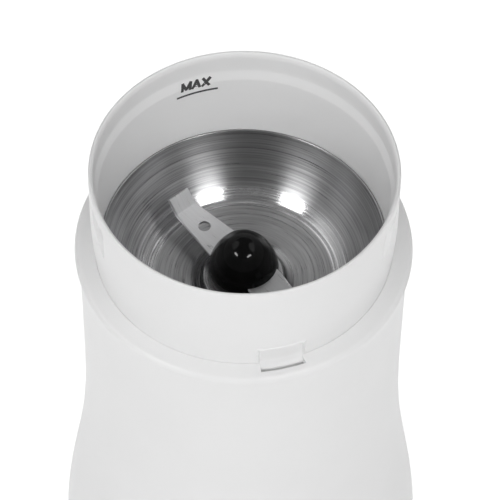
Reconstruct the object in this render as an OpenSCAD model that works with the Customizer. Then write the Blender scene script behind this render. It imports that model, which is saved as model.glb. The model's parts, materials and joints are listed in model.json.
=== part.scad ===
// Electric spice grinder: a waisted housing with a steel grinding bowl in a tall
// round collar, a two-winged blade on the motor shaft, and a lid-operated interlock.
// Millimetres. Origin at the centre of the underside, +Z up, the front faces -Y.

/* [Overall] */
// Height of the collar rim above the table
total_h = 158; // [150:1:170]
// Outer radius of the collar, which the lid slides over
rim_r = 38; // [35:0.5:42]
// Height of the collar above its seam with the housing
collar_h = 28.9; // [26:0.1:32]

/* [Housing] */
// Width of the shoulder beyond the collar
ledge_w = 4.6; // [4.4:0.1:7]
// How much narrower the waist is than the shoulder
waist_in = 1.4; // [0.4:0.1:1.5]
// Height from the waist up to the collar's seam
waist_drop = 35.1; // [31:0.1:40]
// How much wider the foot is than the waist
flare = 6.9; // [5:0.1:10]
// Wall thickness of the housing
shell_t = 2.4; // [2:0.1:2.6]
// Drop of the ledge from the seam to its outer corner
ledge_fall = 1.1; // [0.5:0.1:2]
// Rounding of the ledge corner
corner_round = 1.4; // [0.8:0.1:2]
// Height that the rubber feet lift the housing
foot_h = 2.5; // [2:0.1:4]
// Rounding of the lower edge
foot_round = 2; // [1:0.1:3]

/* [Collar] */
// Thickness of the lip above the inner step
lip_t = 1.3; // [1:0.1:1.8]
// Height of the rounded inner edge of the lip
lip_round = 2; // [1:0.1:3]
// Depth from the rim to the inner step
step_depth = 6.2; // [5:0.1:8]
// Height of the inner step's slope
step_h = 2.8; // [1:0.1:4]
// How far the step narrows the bore
step_t = 0.7; // [0.4:0.1:1]
// Depth from the rim to where the outer wall starts to draw in
draw_depth = 17; // [15:0.5:20]
// How far the outer wall draws in at the seam
draw_in = 0.6; // [0.3:0.1:0.8]
// Length of the skirt that reaches into the housing
skirt_l = 13; // [11.5:0.5:15]
// Height of the ring that carries the bowl
seat_h = 2.8; // [2:0.1:3.2]
// Depth of the grooves that guide the lid
groove_t = 0.9; // [0.5:0.1:1]
// Width of each guide groove at its top
groove_w = 8.8; // [6:0.2:12]
// Length of each guide groove
groove_l = 10; // [6:0.5:10]
// Depth from the rim to the top of each guide groove
groove_drop = 4; // [3:0.5:6]
// Angle from the front to the middle of each guide groove
groove_a = 70; // [60:1:80]

/* [Bowl] */
// Depth of the bowl from its rim to its floor
bowl_depth = 15.7; // [14:0.1:17]
// Sheet thickness of the bowl
bowl_t = 0.6; // [0.4:0.1:0.8]
// How far the bowl rim stands above the seam
bowl_rise = 0.6; // [0.2:0.1:2]
// Radius of the raised boss in the floor
boss_r = 11.2; // [10.5:0.1:12]
// Height of the raised boss
boss_h = 1; // [0.6:0.1:1.5]
// Radius of the hole for the shaft seal
seal_hole_r = 6; // [5.5:0.1:6.5]

/* [Blade and shaft] */
// Height of the blade's underside above the bowl floor
blade_lift = 5.2; // [4.8:0.1:7]
// Blade thickness
blade_t = 1.1; // [0.8:0.1:1.5]
// Half width of the blade at its root
blade_root = 4.9; // [4:0.1:5.5]
// Half width of the blade at its fold
blade_tip = 3.5; // [3:0.1:4]
// Distance from the bowl's mouth in to the fold of the wing
fold_in = 12.05; // [11.8:0.05:15]
// Length of the turned-up tip
tip_l = 4.4; // [3:0.1:5]
// Angle of the turned-up tip
tip_a = 43; // [30:1:60]
// Distance from the fold in to the hole in the wing
hole_in = 7.6; // [6:0.1:9]
// Radius of the hole in the wing
hole_r = 1.6; // [1:0.1:2]
// Angle of the blade at rest, from +X
blade_a = 130.3; // [0:0.1:180]
// Radius of the domed cap
dome_r = 9.1; // [8.5:0.1:10]
// Radius of the motor shaft
shaft_r = 3; // [2.5:0.1:3.2]

/* [Motor] */
// Distance from the bowl floor down to the upper bracket
bracket_drop = 12; // [11:0.5:14]
// Thickness of both motor brackets
bracket_t = 3; // [2.5:0.1:4]
// Height of the stator stack
stack_h = 28; // [24:1:32]
// Outer radius of the stator
stator_r = 30.5; // [30:0.1:31.5]
// Radius of the armature
armature_r = 17.5; // [16:0.1:18]
// Air gap between armature and stator
air_gap = 0.5; // [0.3:0.1:0.8]
// Radial depth of the field coils
coil_t = 7; // [6:0.1:7.4]
// Height of the winding ends beyond the stack
coil_end = 6; // [4:0.5:7]
// Radius of the commutator
commutator_r = 9; // [8:0.1:10]
// Length of the commutator
commutator_l = 10; // [9:0.5:12]
// Radius of the cooling fan
fan_r = 22; // [18:0.5:22.5]
// Height of the cooling fan
fan_h = 6; // [4:0.5:6.5]
// Length of each bearing bush
bush_l = 8; // [6:0.5:9]
// Wall of each bearing bush
bush_t = 3; // [2:0.1:3.5]
// Distance from the axis to the long motor bolts
bolt_at = 27.5; // [27:0.1:28]
// Distance from the inside of the waist in to the motor's mounting posts
motor_post_in = 6.8; // [6:0.1:8]

/* [Interlock] */
// Angle of the tongue pocket from the front, towards +X
pocket_a = 15.4; // [10:0.1:20]
// Width of the tongue pocket
pocket_w = 12.3; // [11.5:0.1:13]
// Height of the pocket above the seam
pocket_h = 4.7; // [3:0.1:6]
// Depth of the pocket into the collar wall
pocket_t = 0.9; // [0.5:0.1:1]
// Travel of the pusher when the lid is pressed
pusher_travel = 2.5; // [2:0.1:2.8]
// Lever arm from its pivot to the pusher
lever_arm = 12; // [11.5:0.1:12.5]
// Arm from the lever's pivot to the plunger
plunger_arm = 4; // [3.5:0.1:4.5]

/* [Base] */
// Thickness of the base plate
plate_t = 3; // [2.4:0.1:4]
// Radius of each rubber foot
foot_r = 6.5; // [5:0.1:7]
// Distance from the housing's edge in to each foot
foot_in = 13.1; // [12:0.1:15]
// Distance from the housing's edge in to each base screw
screw_in = 8.6; // [8:0.1:9.5]
// Height of the cord inlet above the table
inlet_z = 14; // [13:0.5:15]
// Radius of the inlet's bore
inlet_r = 3.3; // [2.5:0.1:3.5]

/* [Hidden] */
$fn = 96;

// Clearances
fit = 0.05;          // between pieces that seat on one another, and in a bearing
free = 0.3;          // between pieces that move past each other
seam_gap = 0.1;      // between the collar and the ledge around it
over = 1;            // how far a cutter passes a face

// Radii of the collar and the housing
band_r = rim_r - lip_t;
bore_r = band_r - step_t;
seam_r = rim_r - draw_in;
skirt_r = seam_r - 2 * seam_gap;
ledge_r = seam_r + seam_gap;
shoulder_r = rim_r + ledge_w;
waist_r = shoulder_r - waist_in;
base_r = waist_r + flare;
waist_inside = waist_r - shell_t;
edge_round = 0.5;    // outer edge of the rim

// Heights of the collar and the bowl
seam_z = total_h - collar_h;
corner_z = seam_z - ledge_fall;
skirt_z = seam_z - skirt_l;
seat_z = skirt_z + seat_h;
bowl_rim_z = seam_z + bowl_rise;
floor_z = bowl_rim_z - bowl_depth;
boss_z = floor_z + boss_h;
waist_z = seam_z - waist_drop;

// Bowl curve: a steep wall, then a tighter corner into the floor
bowl_r = bore_r - fit - bowl_t;                        // inside of the mouth
wall_mid = [bowl_r - 2.8, floor_z + 8];
wall_end = [bowl_r - 8.1, floor_z + 2.8];
corner_mid = [bowl_r - 10.9, floor_z];
floor_edge = [bowl_r - 12.8, floor_z];
gasket_h = 3;
gasket_w = 1.2;

// Screws: thread and head radii, head height, cross slot
m_thread = 1.5;
m_head = 2.8;
m_head_h = 2;
pilot = m_thread + fit;
small_thread = 1;
small_head = 1.7;
slot_w = 0.7;
slot_d = 1;

// Blade, hub and seal
blade_z = floor_z + blade_lift;
fold_r = bowl_r - fold_in;
hole_at = fold_r - hole_in;
root_at = 8;                                           // where the wing starts to taper
tenon_r = shaft_r - 0.5;                               // end of the shaft above the hub
tenon_l = dome_r - 3;
hub_r = dome_r - 0.2;
hub_lift = 0.9;                                        // hub above the boss
seal_gap = 0.1;
seal_w = 4.6;
seal_h = 3.2;
seal_rise = 0.5;

// Motor stack, from the top down
upper_z = floor_z - bracket_drop - bracket_t;          // underside of the upper bracket
fan_gap = 2;
fan_z = upper_z - fan_gap - fan_h;
coil_top = fan_z - fan_gap;
stack_top = coil_top - coil_end;
stack_z = stack_top - stack_h;
coil_z = stack_z - coil_end;
commutator_gap = 0.5;
commutator_z = coil_z - commutator_gap - commutator_l;
brush_z = commutator_z + commutator_l / 2;
brush_drop = 5;                                        // commutator above the lower bracket
lower_z = commutator_z - brush_drop - bracket_t;       // underside of the lower bracket
cup_h = 5;
cup_t = 1.5;
thrust_z = lower_z - cup_h;                            // underside of the thrust cup

// Motor brackets
bush_r = shaft_r + bush_t;
sleeve_t = 2.4;
leg_r = 3.6;
ear_r = 4.6;
eye_inset = 1;                                         // arms narrower than their eyes
bracket_disc_r = 22;
bracket_vent_a = [40, 105, 155, 230, 280];
bracket_vent_at = 15.5;
bracket_vent_r = 3.2;
lower_arm_r = 6;
brush_arm_l = 21;
prop_in = 13;                                          // prop under each brush holder
prop_w = 6;
isolator_hole_r = 3;
isolator_t = 2;
thread_l = 6;                                          // screw length in a post
nut_r = 3;
nut_h = 2.4;
bolt_end = 3;                                          // bolt beyond the bracket

// Windings
stator_bore = armature_r + air_gap;
stator_flat = 4;
notch_at = 2.2;
notch_r = 1.2;
coil_r = stator_bore + coil_t;
window_a = 58;
window_gap = 0.2;
coil_a = 52;
pole_a = 32.3;
pole_gap = 0.8;
armature_slots = 12;
armature_slot_w = 2.2;
armature_slot_d = 5;
winding_w = 2;
winding_l = 4;
winding_gap = 0.1;
winding_in = shaft_r + 2;
winding_round = 2;
bar_gap_w = 0.4;
bar_gap_d = 0.9;

// Fan
fan_hub_r = shaft_r + 3;
fan_disc_t = 1.2;
fan_blades = 9;
fan_blade_a = 18;

// Brushes
brush_w = 5.8;
brush_l = 9;
brush_in = commutator_r + 0.1;
holder_w = 8;
holder_in = commutator_r + 1.5;
holder_end = 26;
holder_back = 1;
brush_spring_r = 2.2;
brush_wire = 0.3;
spring_turns = 4;

// Posts under the collar: three for the motor, three for the housing
motor_post_a = [85, 205, 325];
motor_post_at = waist_inside - motor_post_in;
motor_post_r = 3.4;
shell_boss_a = [10, 130, 250];
shell_boss_at = skirt_r - 3.4;
shell_boss_r = 3.2;
shell_boss_l = 6;
lug_t = 3;
lug_rim = 0.4;                                         // lug beyond the boss that it meets
lug_z = skirt_z - shell_boss_l - lug_t;

// Slit and pusher of the interlock
slit_in = ledge_r + 2.4;
slit_w = 1.3;
channel_r = slit_in + slit_w;
slit_z = seam_z - shell_t;
lead_in = 0.3;                                         // recess round the slit
head_drop = 5.4;
head_z = slit_z - head_drop;                           // underside of the pusher's head
head_t = 3;
spring_h = 4.5;
tab_z = head_z - spring_h;                             // top of the tabs that carry the springs
tab_t = 1.5;
stem_w = 5;
stem_t = 1.3;
stem_in = skirt_r + free;
stem_drop = 8;                                         // stem below the spring tabs
shelf_z = tab_z - stem_drop;
shelf_t = 2;
foot_ball = 1.5;
foot_tip = shelf_z - foot_ball;
spring_tx = 4.3;
spring_at = channel_r - 1.6;
spring_r = 0.95;
spring_wire = 0.18;

// Switch, hung beside the motor
switch_in = waist_inside - 10.8;
switch_t = 6;
switch_l = 20;
switch_h = 10;
lever_tilt = 13.6;
lever_t = 0.4;
lever_rise = 0.3;                                      // lever plate above its pivot
lever_inset = 1.4;                                     // lever narrower than the switch, each side
lever_tail = 3;                                        // lever beyond the pusher's foot
knuckle_r = 0.9;
knuckle_inset = 1.3;
pin_r = 0.6;
ear_t = 1;
pin_ear_r = 1.4;
pivot_drop = 1.1;
pivot_tx = -lever_arm;
plunger_tx = pivot_tx + plunger_arm;
pivot_z = foot_tip - free - lever_arm * tan(lever_tilt) - (lever_rise + lever_t) / cos(lever_tilt);
switch_top = pivot_z - pivot_drop;
switch_z = switch_top - switch_h;
switch_tx = pivot_tx - 2;
plunger_r = 1;
plunger_l = 5;
plunger_tip = 0.5;
plunger_room = 2;                                      // bore below the plunger
plunger_top = pivot_z + plunger_arm * tan(lever_tilt) + lever_rise / cos(lever_tilt) - free;
tab_tx = [switch_tx + 5, switch_tx + 11, switch_tx + 17];
tab_w = 3;
tab_l = 4;
blade_tab_t = 0.6;
switch_hole_tx = [switch_tx + 5, switch_tx + 15];
switch_hole_up = 2.6;
switch_hole_r = small_thread + 0.1;

// Bracket that hangs the switch from the collar
hanger_t = 1.2;
hanger_in = switch_in + switch_t + fit;
hanger_l = 23;
hanger_drop = 2;
hanger_legs = [[switch_tx, switch_tx + 8], [switch_tx + 18, switch_tx + hanger_l]];
hanger_screw_tx = [switch_tx + 4, switch_tx + 20.5];
hanger_screw_at = hanger_in - 1.85;
hanger_flange = 2.6;
hanger_thread_l = 2;

// Base
plate_z = foot_h;
plate_top = plate_z + plate_t;
plate_gap = 0.25;
plate_r = base_r - shell_t - plate_gap;
base_screw_a = [45:90:315];
foot_a = [0:90:270];
foot_at = base_r - foot_in;
screw_at = base_r - screw_in;
base_post_l = 18;
base_post_r = 3.4;
rib_t = 2.4;
sink = 1.2;                                            // base screw heads below the surface
base_screw_l = 12;
vent_r = 22.5;
vent_w = 1.8;
vent_pitch = 4;
peg_r = 2.5;
barb_r = 3.2;
barb_h = 1.6;
foot_edge = 0.6;

// Cord inlet and clamp
inlet_face = base_r - 2.1;
inlet_l = 4.5;
inlet_back = inlet_face - inlet_l;
inlet_boss_r = 8.5;
grommet_r = 4.5;
flange_t = 1.4;
outer_flange_r = 6.2;
inner_flange_r = 5.6;
post_x = 8;
post_y = base_r - 22.1;
post_r = 3;
cleat_w = 4;
bite = 0.8;                                            // how far the clamp pinches the lead
cleat_top = inlet_z + inlet_r - bite;
clamp_w = 7;
clamp_t = 2.4;
tooth = [8, 2, 1];
clamp_screw_l = 8;

// ---------- shared shapes ----------

// Outer radius of the housing at a height: a shallow bell above the waist, a soft flare below
function body_r(z) = z >= waist_z
    ? waist_r + waist_in * pow((z - waist_z) / (corner_z - corner_round - waist_z), 2)
    : waist_r + flare * (1 - cos(180 * pow(min(1, (waist_z - z) / (waist_z - foot_h - foot_round)), 1.27))) / 2;

// Points of a quarter turn about a centre, from angle a0 to a1
function arc(c, r, a0, a1, n = 6) = [for (i = [0:n])
    c + r * [cos(a0 + (a1 - a0) * i / n), sin(a0 + (a1 - a0) * i / n)]];

// Points of a curve that leaves a towards b and reaches c
function bend(a, b, c, n = 10) = [for (i = [0:n]) let (t = i / n)
    (1 - t) * (1 - t) * a + 2 * t * (1 - t) * b + t * t * c];

// The same line moved sideways by d, to its right
function shifted(p, d) = [for (i = [0:len(p) - 1])
    let (v = p[min(i + 1, len(p) - 1)] - p[max(i - 1, 0)]) p[i] + d * [v[1], -v[0]] / norm(v)];

function reversed(p) = [for (i = [len(p) - 1:-1:0]) p[i]];

// Inside of the bowl from its rim to the shaft seal
bowl_wall = concat(bend([bowl_r, bowl_rim_z], wall_mid, wall_end),
                   [for (i = [1:6]) bend(wall_end, corner_mid, floor_edge, 6)[i]]);
bowl_line = concat(bowl_wall, [[boss_r + 0.6, floor_z], [boss_r, boss_z - 0.2], [boss_r - 0.4, boss_z],
                               [seal_hole_r, boss_z]]);

// Outer radius of the bowl at a height
function bowl_outside(z) = lookup(z, [for (p = shifted(bowl_wall, -bowl_t)) [p[1], p[0]]]);

module ring(r_in, r_out, z0, z1) {
    translate([0, 0, z0]) difference() {
        cylinder(r = r_out, h = z1 - z0);
        translate([0, 0, -over]) cylinder(r = r_in, h = z1 - z0 + 2 * over);
    }
}

// Flat sector of a ring, centred on +X
module sector(r_in, r_out, half_a) {
    intersection() {
        difference() {
            circle(r = r_out);
            circle(r = r_in);
        }
        polygon([[0, 0], 2 * r_out * [cos(half_a), -sin(half_a)], [2 * r_out, 0],
                 2 * r_out * [cos(half_a), sin(half_a)]]);
    }
}

// Flat arm from the axis that ends in a round eye
module arm(at, eye_r) {
    translate([0, eye_inset - eye_r]) square([at, 2 * (eye_r - eye_inset)]);
    translate([at, 0]) circle(r = eye_r);
}

// Copies around Z
module around(angles) {
    for (a = angles) rotate([0, 0, a]) children();
}

// Upright cylinder at a distance from the axis, between two heights
module pin(at, r, z0, z1) {
    translate([at, 0, z0]) cylinder(r = r, h = z1 - z0);
}

// The interlock's own frame: -Y points outwards through the middle of the pocket
module at_pocket() {
    rotate([0, 0, pocket_a]) children();
}

// A point given in that frame
function from_pocket(tx, r, z) =
    [tx * cos(pocket_a) + r * sin(pocket_a), tx * sin(pocket_a) - r * cos(pocket_a), z];

// A box in that frame, given by its spans across, outwards and up
module outward_box(tx, r, z) {
    translate([tx[0], -r[1], z[0]]) cube([tx[1] - tx[0], r[1] - r[0], z[1] - z[0]]);
}

// Cylinder in that frame that lies along the outward direction
module outward_pin(tx, r, z, radius) {
    translate([tx, -r[1], z]) rotate([-90, 0, 0]) cylinder(r = radius, h = r[1] - r[0]);
}

// Curved block in that frame, over the pocket's width
module pocket_block(r, z, w = pocket_w) {
    intersection() {
        ring(r[0], r[1], z[0], z[1]);
        outward_box([-w / 2, w / 2], [0, 2 * base_r], z);
    }
}

// Screw pointing up from the underside of its head
module screw(l, head = m_head, r = m_thread, head_h = m_head_h) {
    translate([0, 0, -head_h]) difference() {
        cylinder(r = head, h = head_h);
        around([0, 90]) translate([-head * 0.6, -slot_w / 2, -over]) cube([head * 1.2, slot_w, over + slot_d]);
    }
    cylinder(r = r, h = l);
}

// Tube swept along points, each ring square to the path
module swept(path, r, sides = 8) {
    n = len(path);
    function dir(i) = let (v = path[min(i + 1, n - 1)] - path[max(i - 1, 0)]) v / norm(v);
    function side(d) = let (u = abs(d[2]) < 0.9 ? cross(d, [0, 0, 1]) : cross(d, [1, 0, 0])) u / norm(u);
    pts = [for (i = [0:n - 1]) let (d = dir(i), u = side(d), w = cross(d, u))
           for (k = [0:sides - 1]) path[i] + r * (cos(360 * k / sides) * u + sin(360 * k / sides) * w)];
    faces = concat([for (i = [0:n - 2]) for (k = [0:sides - 1]) let (next = (k + 1) % sides)
                    [i * sides + k, (i + 1) * sides + k, (i + 1) * sides + next, i * sides + next]],
                   [[for (k = [0:sides - 1]) k]],
                   [[for (k = [sides - 1:-1:0]) (n - 1) * sides + k]]);
    polyhedron(pts, faces);
}

// Helical spring standing on z = 0
module spring(r, wire, h) {
    steps = 14;
    swept([for (i = [0:spring_turns * steps]) [r * cos(360 * i / steps), r * sin(360 * i / steps),
           wire + (h - 2 * wire) * i / (spring_turns * steps)]], wire, 6);
}

// Smooth path through hand-placed points
function smooth(p, n = 4) = concat([for (i = [0:len(p) - 2]) for (k = [0:n - 1])
    let (t = k / n, a = p[max(i - 1, 0)], b = p[i], c = p[i + 1], d = p[min(i + 2, len(p) - 1)])
    0.5 * (2 * b + (c - a) * t + (2 * a - 5 * b + 4 * c - d) * t * t + (3 * b - a - 3 * c + d) * t * t * t)],
    [p[len(p) - 1]]);

// ---------- housing ----------

module shell_wall() {
    row_h = 4;
    foot = foot_h + foot_round;
    top = corner_z - corner_round;
    rows = floor((top - foot) / row_h);
    outer = [for (i = [0:rows]) let (z = foot + (top - foot) * i / rows) [body_r(z), z]];
    inner = [for (p = reversed(outer)) [p[0] - shell_t, p[1]]];
    rotate_extrude() polygon(concat(
        [[base_r - shell_t, foot_h]],
        arc([base_r - foot_round, foot], foot_round, -90, 0, 5),
        [for (i = [1:rows - 1]) outer[i]],
        arc([shoulder_r - corner_round, top], corner_round, 0, 75, 5),
        [[ledge_r, seam_z], [ledge_r, slit_z], [shoulder_r - shell_t - edge_round, slit_z]],
        inner));
}

// Room for the lid's tongue and the pusher, from the ledge down
module pusher_room() {
    at_pocket() {
        pocket_block([slit_in, channel_r], [slit_z - over, seam_z + over]);
        pocket_block([ledge_r - over, channel_r], [tab_z, slit_z]);
        pocket_block([ledge_r - over, channel_r], [corner_z - lead_in, seam_z + over]);
    }
}

// Two tabs under the pusher's springs, either side of its stem
module spring_tabs() {
    z = [tab_z - tab_t, tab_z];
    at_pocket() difference() {
        pocket_block([stem_in, body_r(z[0]) - shell_t / 2], z, pocket_w + 2);
        outward_box([-stem_w / 2 - free, stem_w / 2 + free], [0, channel_r], [z[0] - over, z[1] + over]);
    }
}

// Lug that the collar's boss is screwed to
module shell_lug() {
    difference() {
        union() {
            pin(shell_boss_at, shell_boss_r + lug_rim, lug_z, lug_z + lug_t);
            translate([shell_boss_at, -shell_boss_r, lug_z])
                cube([body_r(lug_z) - shell_t / 2 - shell_boss_at, 2 * shell_boss_r, lug_t]);
        }
        pin(shell_boss_at, pilot + seam_gap, lug_z - over, lug_z + lug_t + over);
    }
}

// Post for a base screw, with a rib to the wall
module base_post() {
    difference() {
        union() {
            pin(screw_at, base_post_r, plate_top, plate_top + base_post_l);
            translate([screw_at, -rib_t / 2, plate_top])
                cube([base_r - foot_round - screw_at, rib_t, base_post_l - 2]);
        }
        pin(screw_at, pilot, plate_top - over, plate_top + base_post_l - 3);
    }
}

module body_shell() color("white") {
    difference() {
        union() {
            shell_wall();
            around(shell_boss_a) shell_lug();
            around(base_screw_a) base_post();
            translate([0, inlet_back, inlet_z]) rotate([-90, 0, 0]) cylinder(r = inlet_boss_r, h = inlet_l);
        }
        pusher_room();
        translate([0, inlet_back - over, inlet_z]) rotate([-90, 0, 0])
            cylinder(r = grommet_r + fit, h = base_r);
        translate([0, inlet_face, inlet_z]) rotate([-90, 0, 0]) cylinder(r = outer_flange_r + 0.4, h = base_r);
    }
    spring_tabs();
}

// ---------- collar and bowl ----------

// Triangle that narrows downwards and guides the lid's lug
module lid_groove(side) {
    rotate([0, 0, side * groove_a]) translate([0, groove_t - rim_r, total_h - groove_drop - groove_l])
        rotate([90, 0, 0]) linear_extrude(height = 5 * groove_t)
            polygon([[-side * groove_w / 2, 0], [-side * groove_w / 2, groove_l], [side * groove_w / 2, groove_l],
                     [side * groove_w / 9, groove_l / 2]]);
}

module collar_wall() {
    lip = [for (i = [1:6]) [rim_r - edge_round - (lip_t - edge_round) * sin(15 * i),
                            total_h - lip_round * (1 - cos(15 * i))]];
    seat_r = bowl_outside(seat_z) + edge_round;
    rotate_extrude() polygon(concat(
        arc([rim_r - edge_round, total_h - edge_round], edge_round, 0, 90, 4),
        lip,
        [[band_r, total_h - step_depth], [bore_r, total_h - step_depth - step_h], [bore_r, seat_z],
         [seat_r, seat_z], [seat_r - 1.2, skirt_z], [skirt_r, skirt_z], [skirt_r, seam_z - 0.6],
         [seam_r, seam_z - 0.4]],
        bend([seam_r, seam_z], [rim_r, seam_z + (collar_h - draw_depth) * 0.6],
             [rim_r, total_h - draw_depth], 6)));
}

// Space that the bowl and its gasket take below the seat
module bowl_space() {
    rotate_extrude() polygon(concat([[0, bowl_rim_z]], [for (p = shifted(bowl_wall, -bowl_t - free)) p],
                                    [[0, floor_z - bowl_t - free]]));
}

module collar() color("white") difference() {
    post_top = skirt_z + 1;
    union() {
        collar_wall();
        difference() {
            union() {
                around(motor_post_a)
                    pin(motor_post_at, motor_post_r, upper_z + bracket_t + isolator_t, post_top);
                around(shell_boss_a) pin(shell_boss_at, shell_boss_r, lug_z + lug_t, post_top);
            }
            bowl_space();
        }
    }
    at_pocket() pocket_block([rim_r - pocket_t, rim_r + over], [seam_z - 0.6, seam_z + pocket_h]);
    for (side = [-1, 1]) lid_groove(side);
    around(motor_post_a) pin(motor_post_at, pilot, upper_z, upper_z + bracket_t + isolator_t + thread_l + 2);
    around(shell_boss_a) pin(shell_boss_at, pilot, lug_z, skirt_z + over);
    at_pocket() for (tx = hanger_screw_tx) translate([tx, -hanger_screw_at, skirt_z - over])
        cylinder(r = small_thread + fit, h = hanger_thread_l + over);
}

module bowl() color("silver") rotate_extrude()
    polygon(concat(bowl_line, reversed(shifted(bowl_line, -bowl_t))));

module bowl_gasket() color("dimgray") {
    low = seat_z + fit;
    under = [for (p = shifted(bowl_wall, -bowl_t - fit)) if (p[1] < seat_z + gasket_h && p[1] > low) p];
    outer = under[0][0] + gasket_w;
    rotate_extrude() polygon(concat(under,
        [[under[len(under) - 1][0], low], [outer, low], [outer, under[0][1]]]));
}

module shaft_seal() color("black") {
    lip = shaft_r + seal_gap;
    neck_z = boss_z - bowl_t - fit;
    neck_r = seal_hole_r - fit;
    rotate_extrude() polygon([[lip, boss_z - seal_h], [lip + seal_w, boss_z - seal_h], [lip + seal_w, neck_z],
                              [neck_r, neck_z], [neck_r, boss_z + fit], [lip + seal_w - 0.2, boss_z + fit],
                              [lip + seal_w - 0.6, boss_z + seal_rise], [lip, boss_z + seal_rise]]);
}

// ---------- blade and shaft ----------

module wing() {
    difference() {
        union() {
            linear_extrude(height = blade_t)
                polygon([[0, -blade_root], [root_at, -blade_root], [fold_r, -blade_tip],
                         [fold_r, blade_tip], [root_at, blade_root], [0, blade_root]]);
            translate([fold_r, 0, 0]) rotate([0, -tip_a, 0]) translate([0, -blade_tip, 0])
                cube([tip_l, 2 * blade_tip, blade_t]);
            translate([fold_r, blade_tip, 0]) rotate([90, 0, 0]) intersection() {
                cylinder(r = blade_t, h = 2 * blade_tip);
                translate([-blade_t, 0, 0]) cube([2 * blade_t, blade_t, 2 * blade_tip]);
            }
        }
        translate([hole_at, 0, -over]) cylinder(r = hole_r, h = blade_t + 2 * over);
    }
}

module blade() color("silver") translate([0, 0, blade_z]) rotate([0, 0, blade_a]) difference() {
    around([0, 180]) wing();
    translate([0, 0, -over]) cylinder(r = tenon_r + fit, h = blade_t + 2 * over);
}

module blade_hub() color("black") ring(shaft_r + fit, hub_r, boss_z + hub_lift, blade_z);

module dome_cap() color("black") difference() {
    intersection() {
        translate([0, 0, blade_z]) sphere(r = dome_r);
        translate([-dome_r, -dome_r, blade_z + blade_t]) cube([2 * dome_r, 2 * dome_r, dome_r]);
    }
    translate([0, 0, blade_z]) cylinder(r = tenon_r + fit, h = tenon_l + 0.4);
}

module motor_shaft() color("gray") {
    bottom = thrust_z + cup_t + seal_gap;
    pin(0, shaft_r, bottom, blade_z);
    pin(0, tenon_r, blade_z - over, blade_z + tenon_l);
}

// ---------- motor ----------

module bush(z) ring(shaft_r + fit, bush_r, z, z + bush_l);

module upper_bracket() color("gainsboro") difference() {
    union() {
        translate([0, 0, upper_z]) linear_extrude(height = bracket_t) {
            circle(r = bracket_disc_r);
            around([0, 180]) arm(bolt_at, ear_r);
            around(motor_post_a) arm(motor_post_at, ear_r);
        }
        pin(0, bush_r + sleeve_t, upper_z + over, upper_z + bush_l);
        around([0, 180]) pin(bolt_at, leg_r, stack_top, upper_z + over);
    }
    pin(0, bush_r + fit, upper_z - over, upper_z + bush_l + over);
    around([0, 180]) pin(bolt_at, pilot, stack_top - over, upper_z + bracket_t + over);
    around(motor_post_a) pin(motor_post_at, isolator_hole_r, upper_z - over, upper_z + bracket_t + over);
    around(bracket_vent_a) pin(bracket_vent_at, bracket_vent_r, upper_z - over, upper_z + bracket_t + over);
}

module upper_bush() color("peru") bush(upper_z);

module lower_bracket() color("gainsboro") difference() {
    union() {
        translate([0, 0, lower_z]) linear_extrude(height = bracket_t) {
            around([0, 180]) arm(bolt_at, lower_arm_r);
            around([90, 270]) translate([0, -lower_arm_r]) square([brush_arm_l, 2 * lower_arm_r]);
        }
        around([0, 180]) pin(bolt_at, leg_r, lower_z + over, stack_z);
        around([90, 270]) translate([prop_in, -prop_w / 2, lower_z + over])
            cube([brush_arm_l - prop_in, prop_w, brush_z - holder_w / 2 - lower_z - over]);
        pin(0, bush_r + sleeve_t, thrust_z, lower_z + bracket_t - over);
    }
    pin(0, bush_r + fit, thrust_z + cup_t, lower_z + bracket_t + over);
    around([0, 180]) pin(bolt_at, pilot, lower_z - over, stack_z + over);
}

module lower_bush() color("peru") bush(thrust_z + cup_t);

module stator_core() color("darkgray") translate([0, 0, stack_z])
linear_extrude(height = stack_h) difference() {
    intersection() {
        circle(r = stator_r);
        square([2 * stator_r, 2 * (stator_r - stator_flat)], center = true);
    }
    circle(r = stator_bore);
    around([0, 180]) sector(stator_bore - over, coil_r + window_gap, window_a);
    around([40, 140, 220, 320]) translate([stator_r - notch_at, 0]) circle(r = notch_r);
    around([0, 180]) translate([bolt_at, 0]) circle(r = pilot);
}

// One coil round each pole, at the front and the back
module field_coil() {
    difference() {
        translate([0, 0, coil_z]) linear_extrude(height = stack_h + 2 * coil_end)
            sector(stator_bore + pole_gap, coil_r, coil_a);
        translate([0, 0, stack_z - winding_gap]) linear_extrude(height = stack_h + 2 * winding_gap)
            sector(stator_bore - over, coil_r + over, pole_a);
    }
}

module field_coils() color("saddlebrown") around([90, 270]) field_coil();

module at_armature_slots() {
    around([for (i = [0:armature_slots - 1]) 360 * i / armature_slots]) children();
}

module armature_core() color("dimgray") translate([0, 0, stack_z])
linear_extrude(height = stack_h) difference() {
    circle(r = armature_r);
    circle(r = shaft_r + fit);
    at_armature_slots() translate([armature_r - armature_slot_d, -armature_slot_w / 2])
        square([armature_slot_d + over, armature_slot_w]);
}

module armature_windings() color("chocolate") {
    end_r = armature_r - 1.5;
    face_r = end_r - winding_round - 0.5;
    at_armature_slots() translate([armature_r - armature_slot_d + winding_gap, -winding_w / 2, coil_z + 1])
        cube([winding_l, winding_w, stack_h + 2 * coil_end - 2]);
    for (z = [coil_z, stack_top]) rotate_extrude() polygon([
        [winding_in, z], [face_r, z], [end_r, z + winding_round], [end_r, z + coil_end - winding_round],
        [face_r, z + coil_end], [winding_in, z + coil_end]]);
}

module commutator() color("orange") difference() {
    ring(shaft_r + fit, commutator_r, commutator_z, commutator_z + commutator_l);
    at_armature_slots() around([-7.5, 7.5])
        translate([commutator_r - bar_gap_d, -bar_gap_w / 2, commutator_z - over])
        cube([bar_gap_d + over, bar_gap_w, commutator_l + 2 * over]);
}

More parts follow.
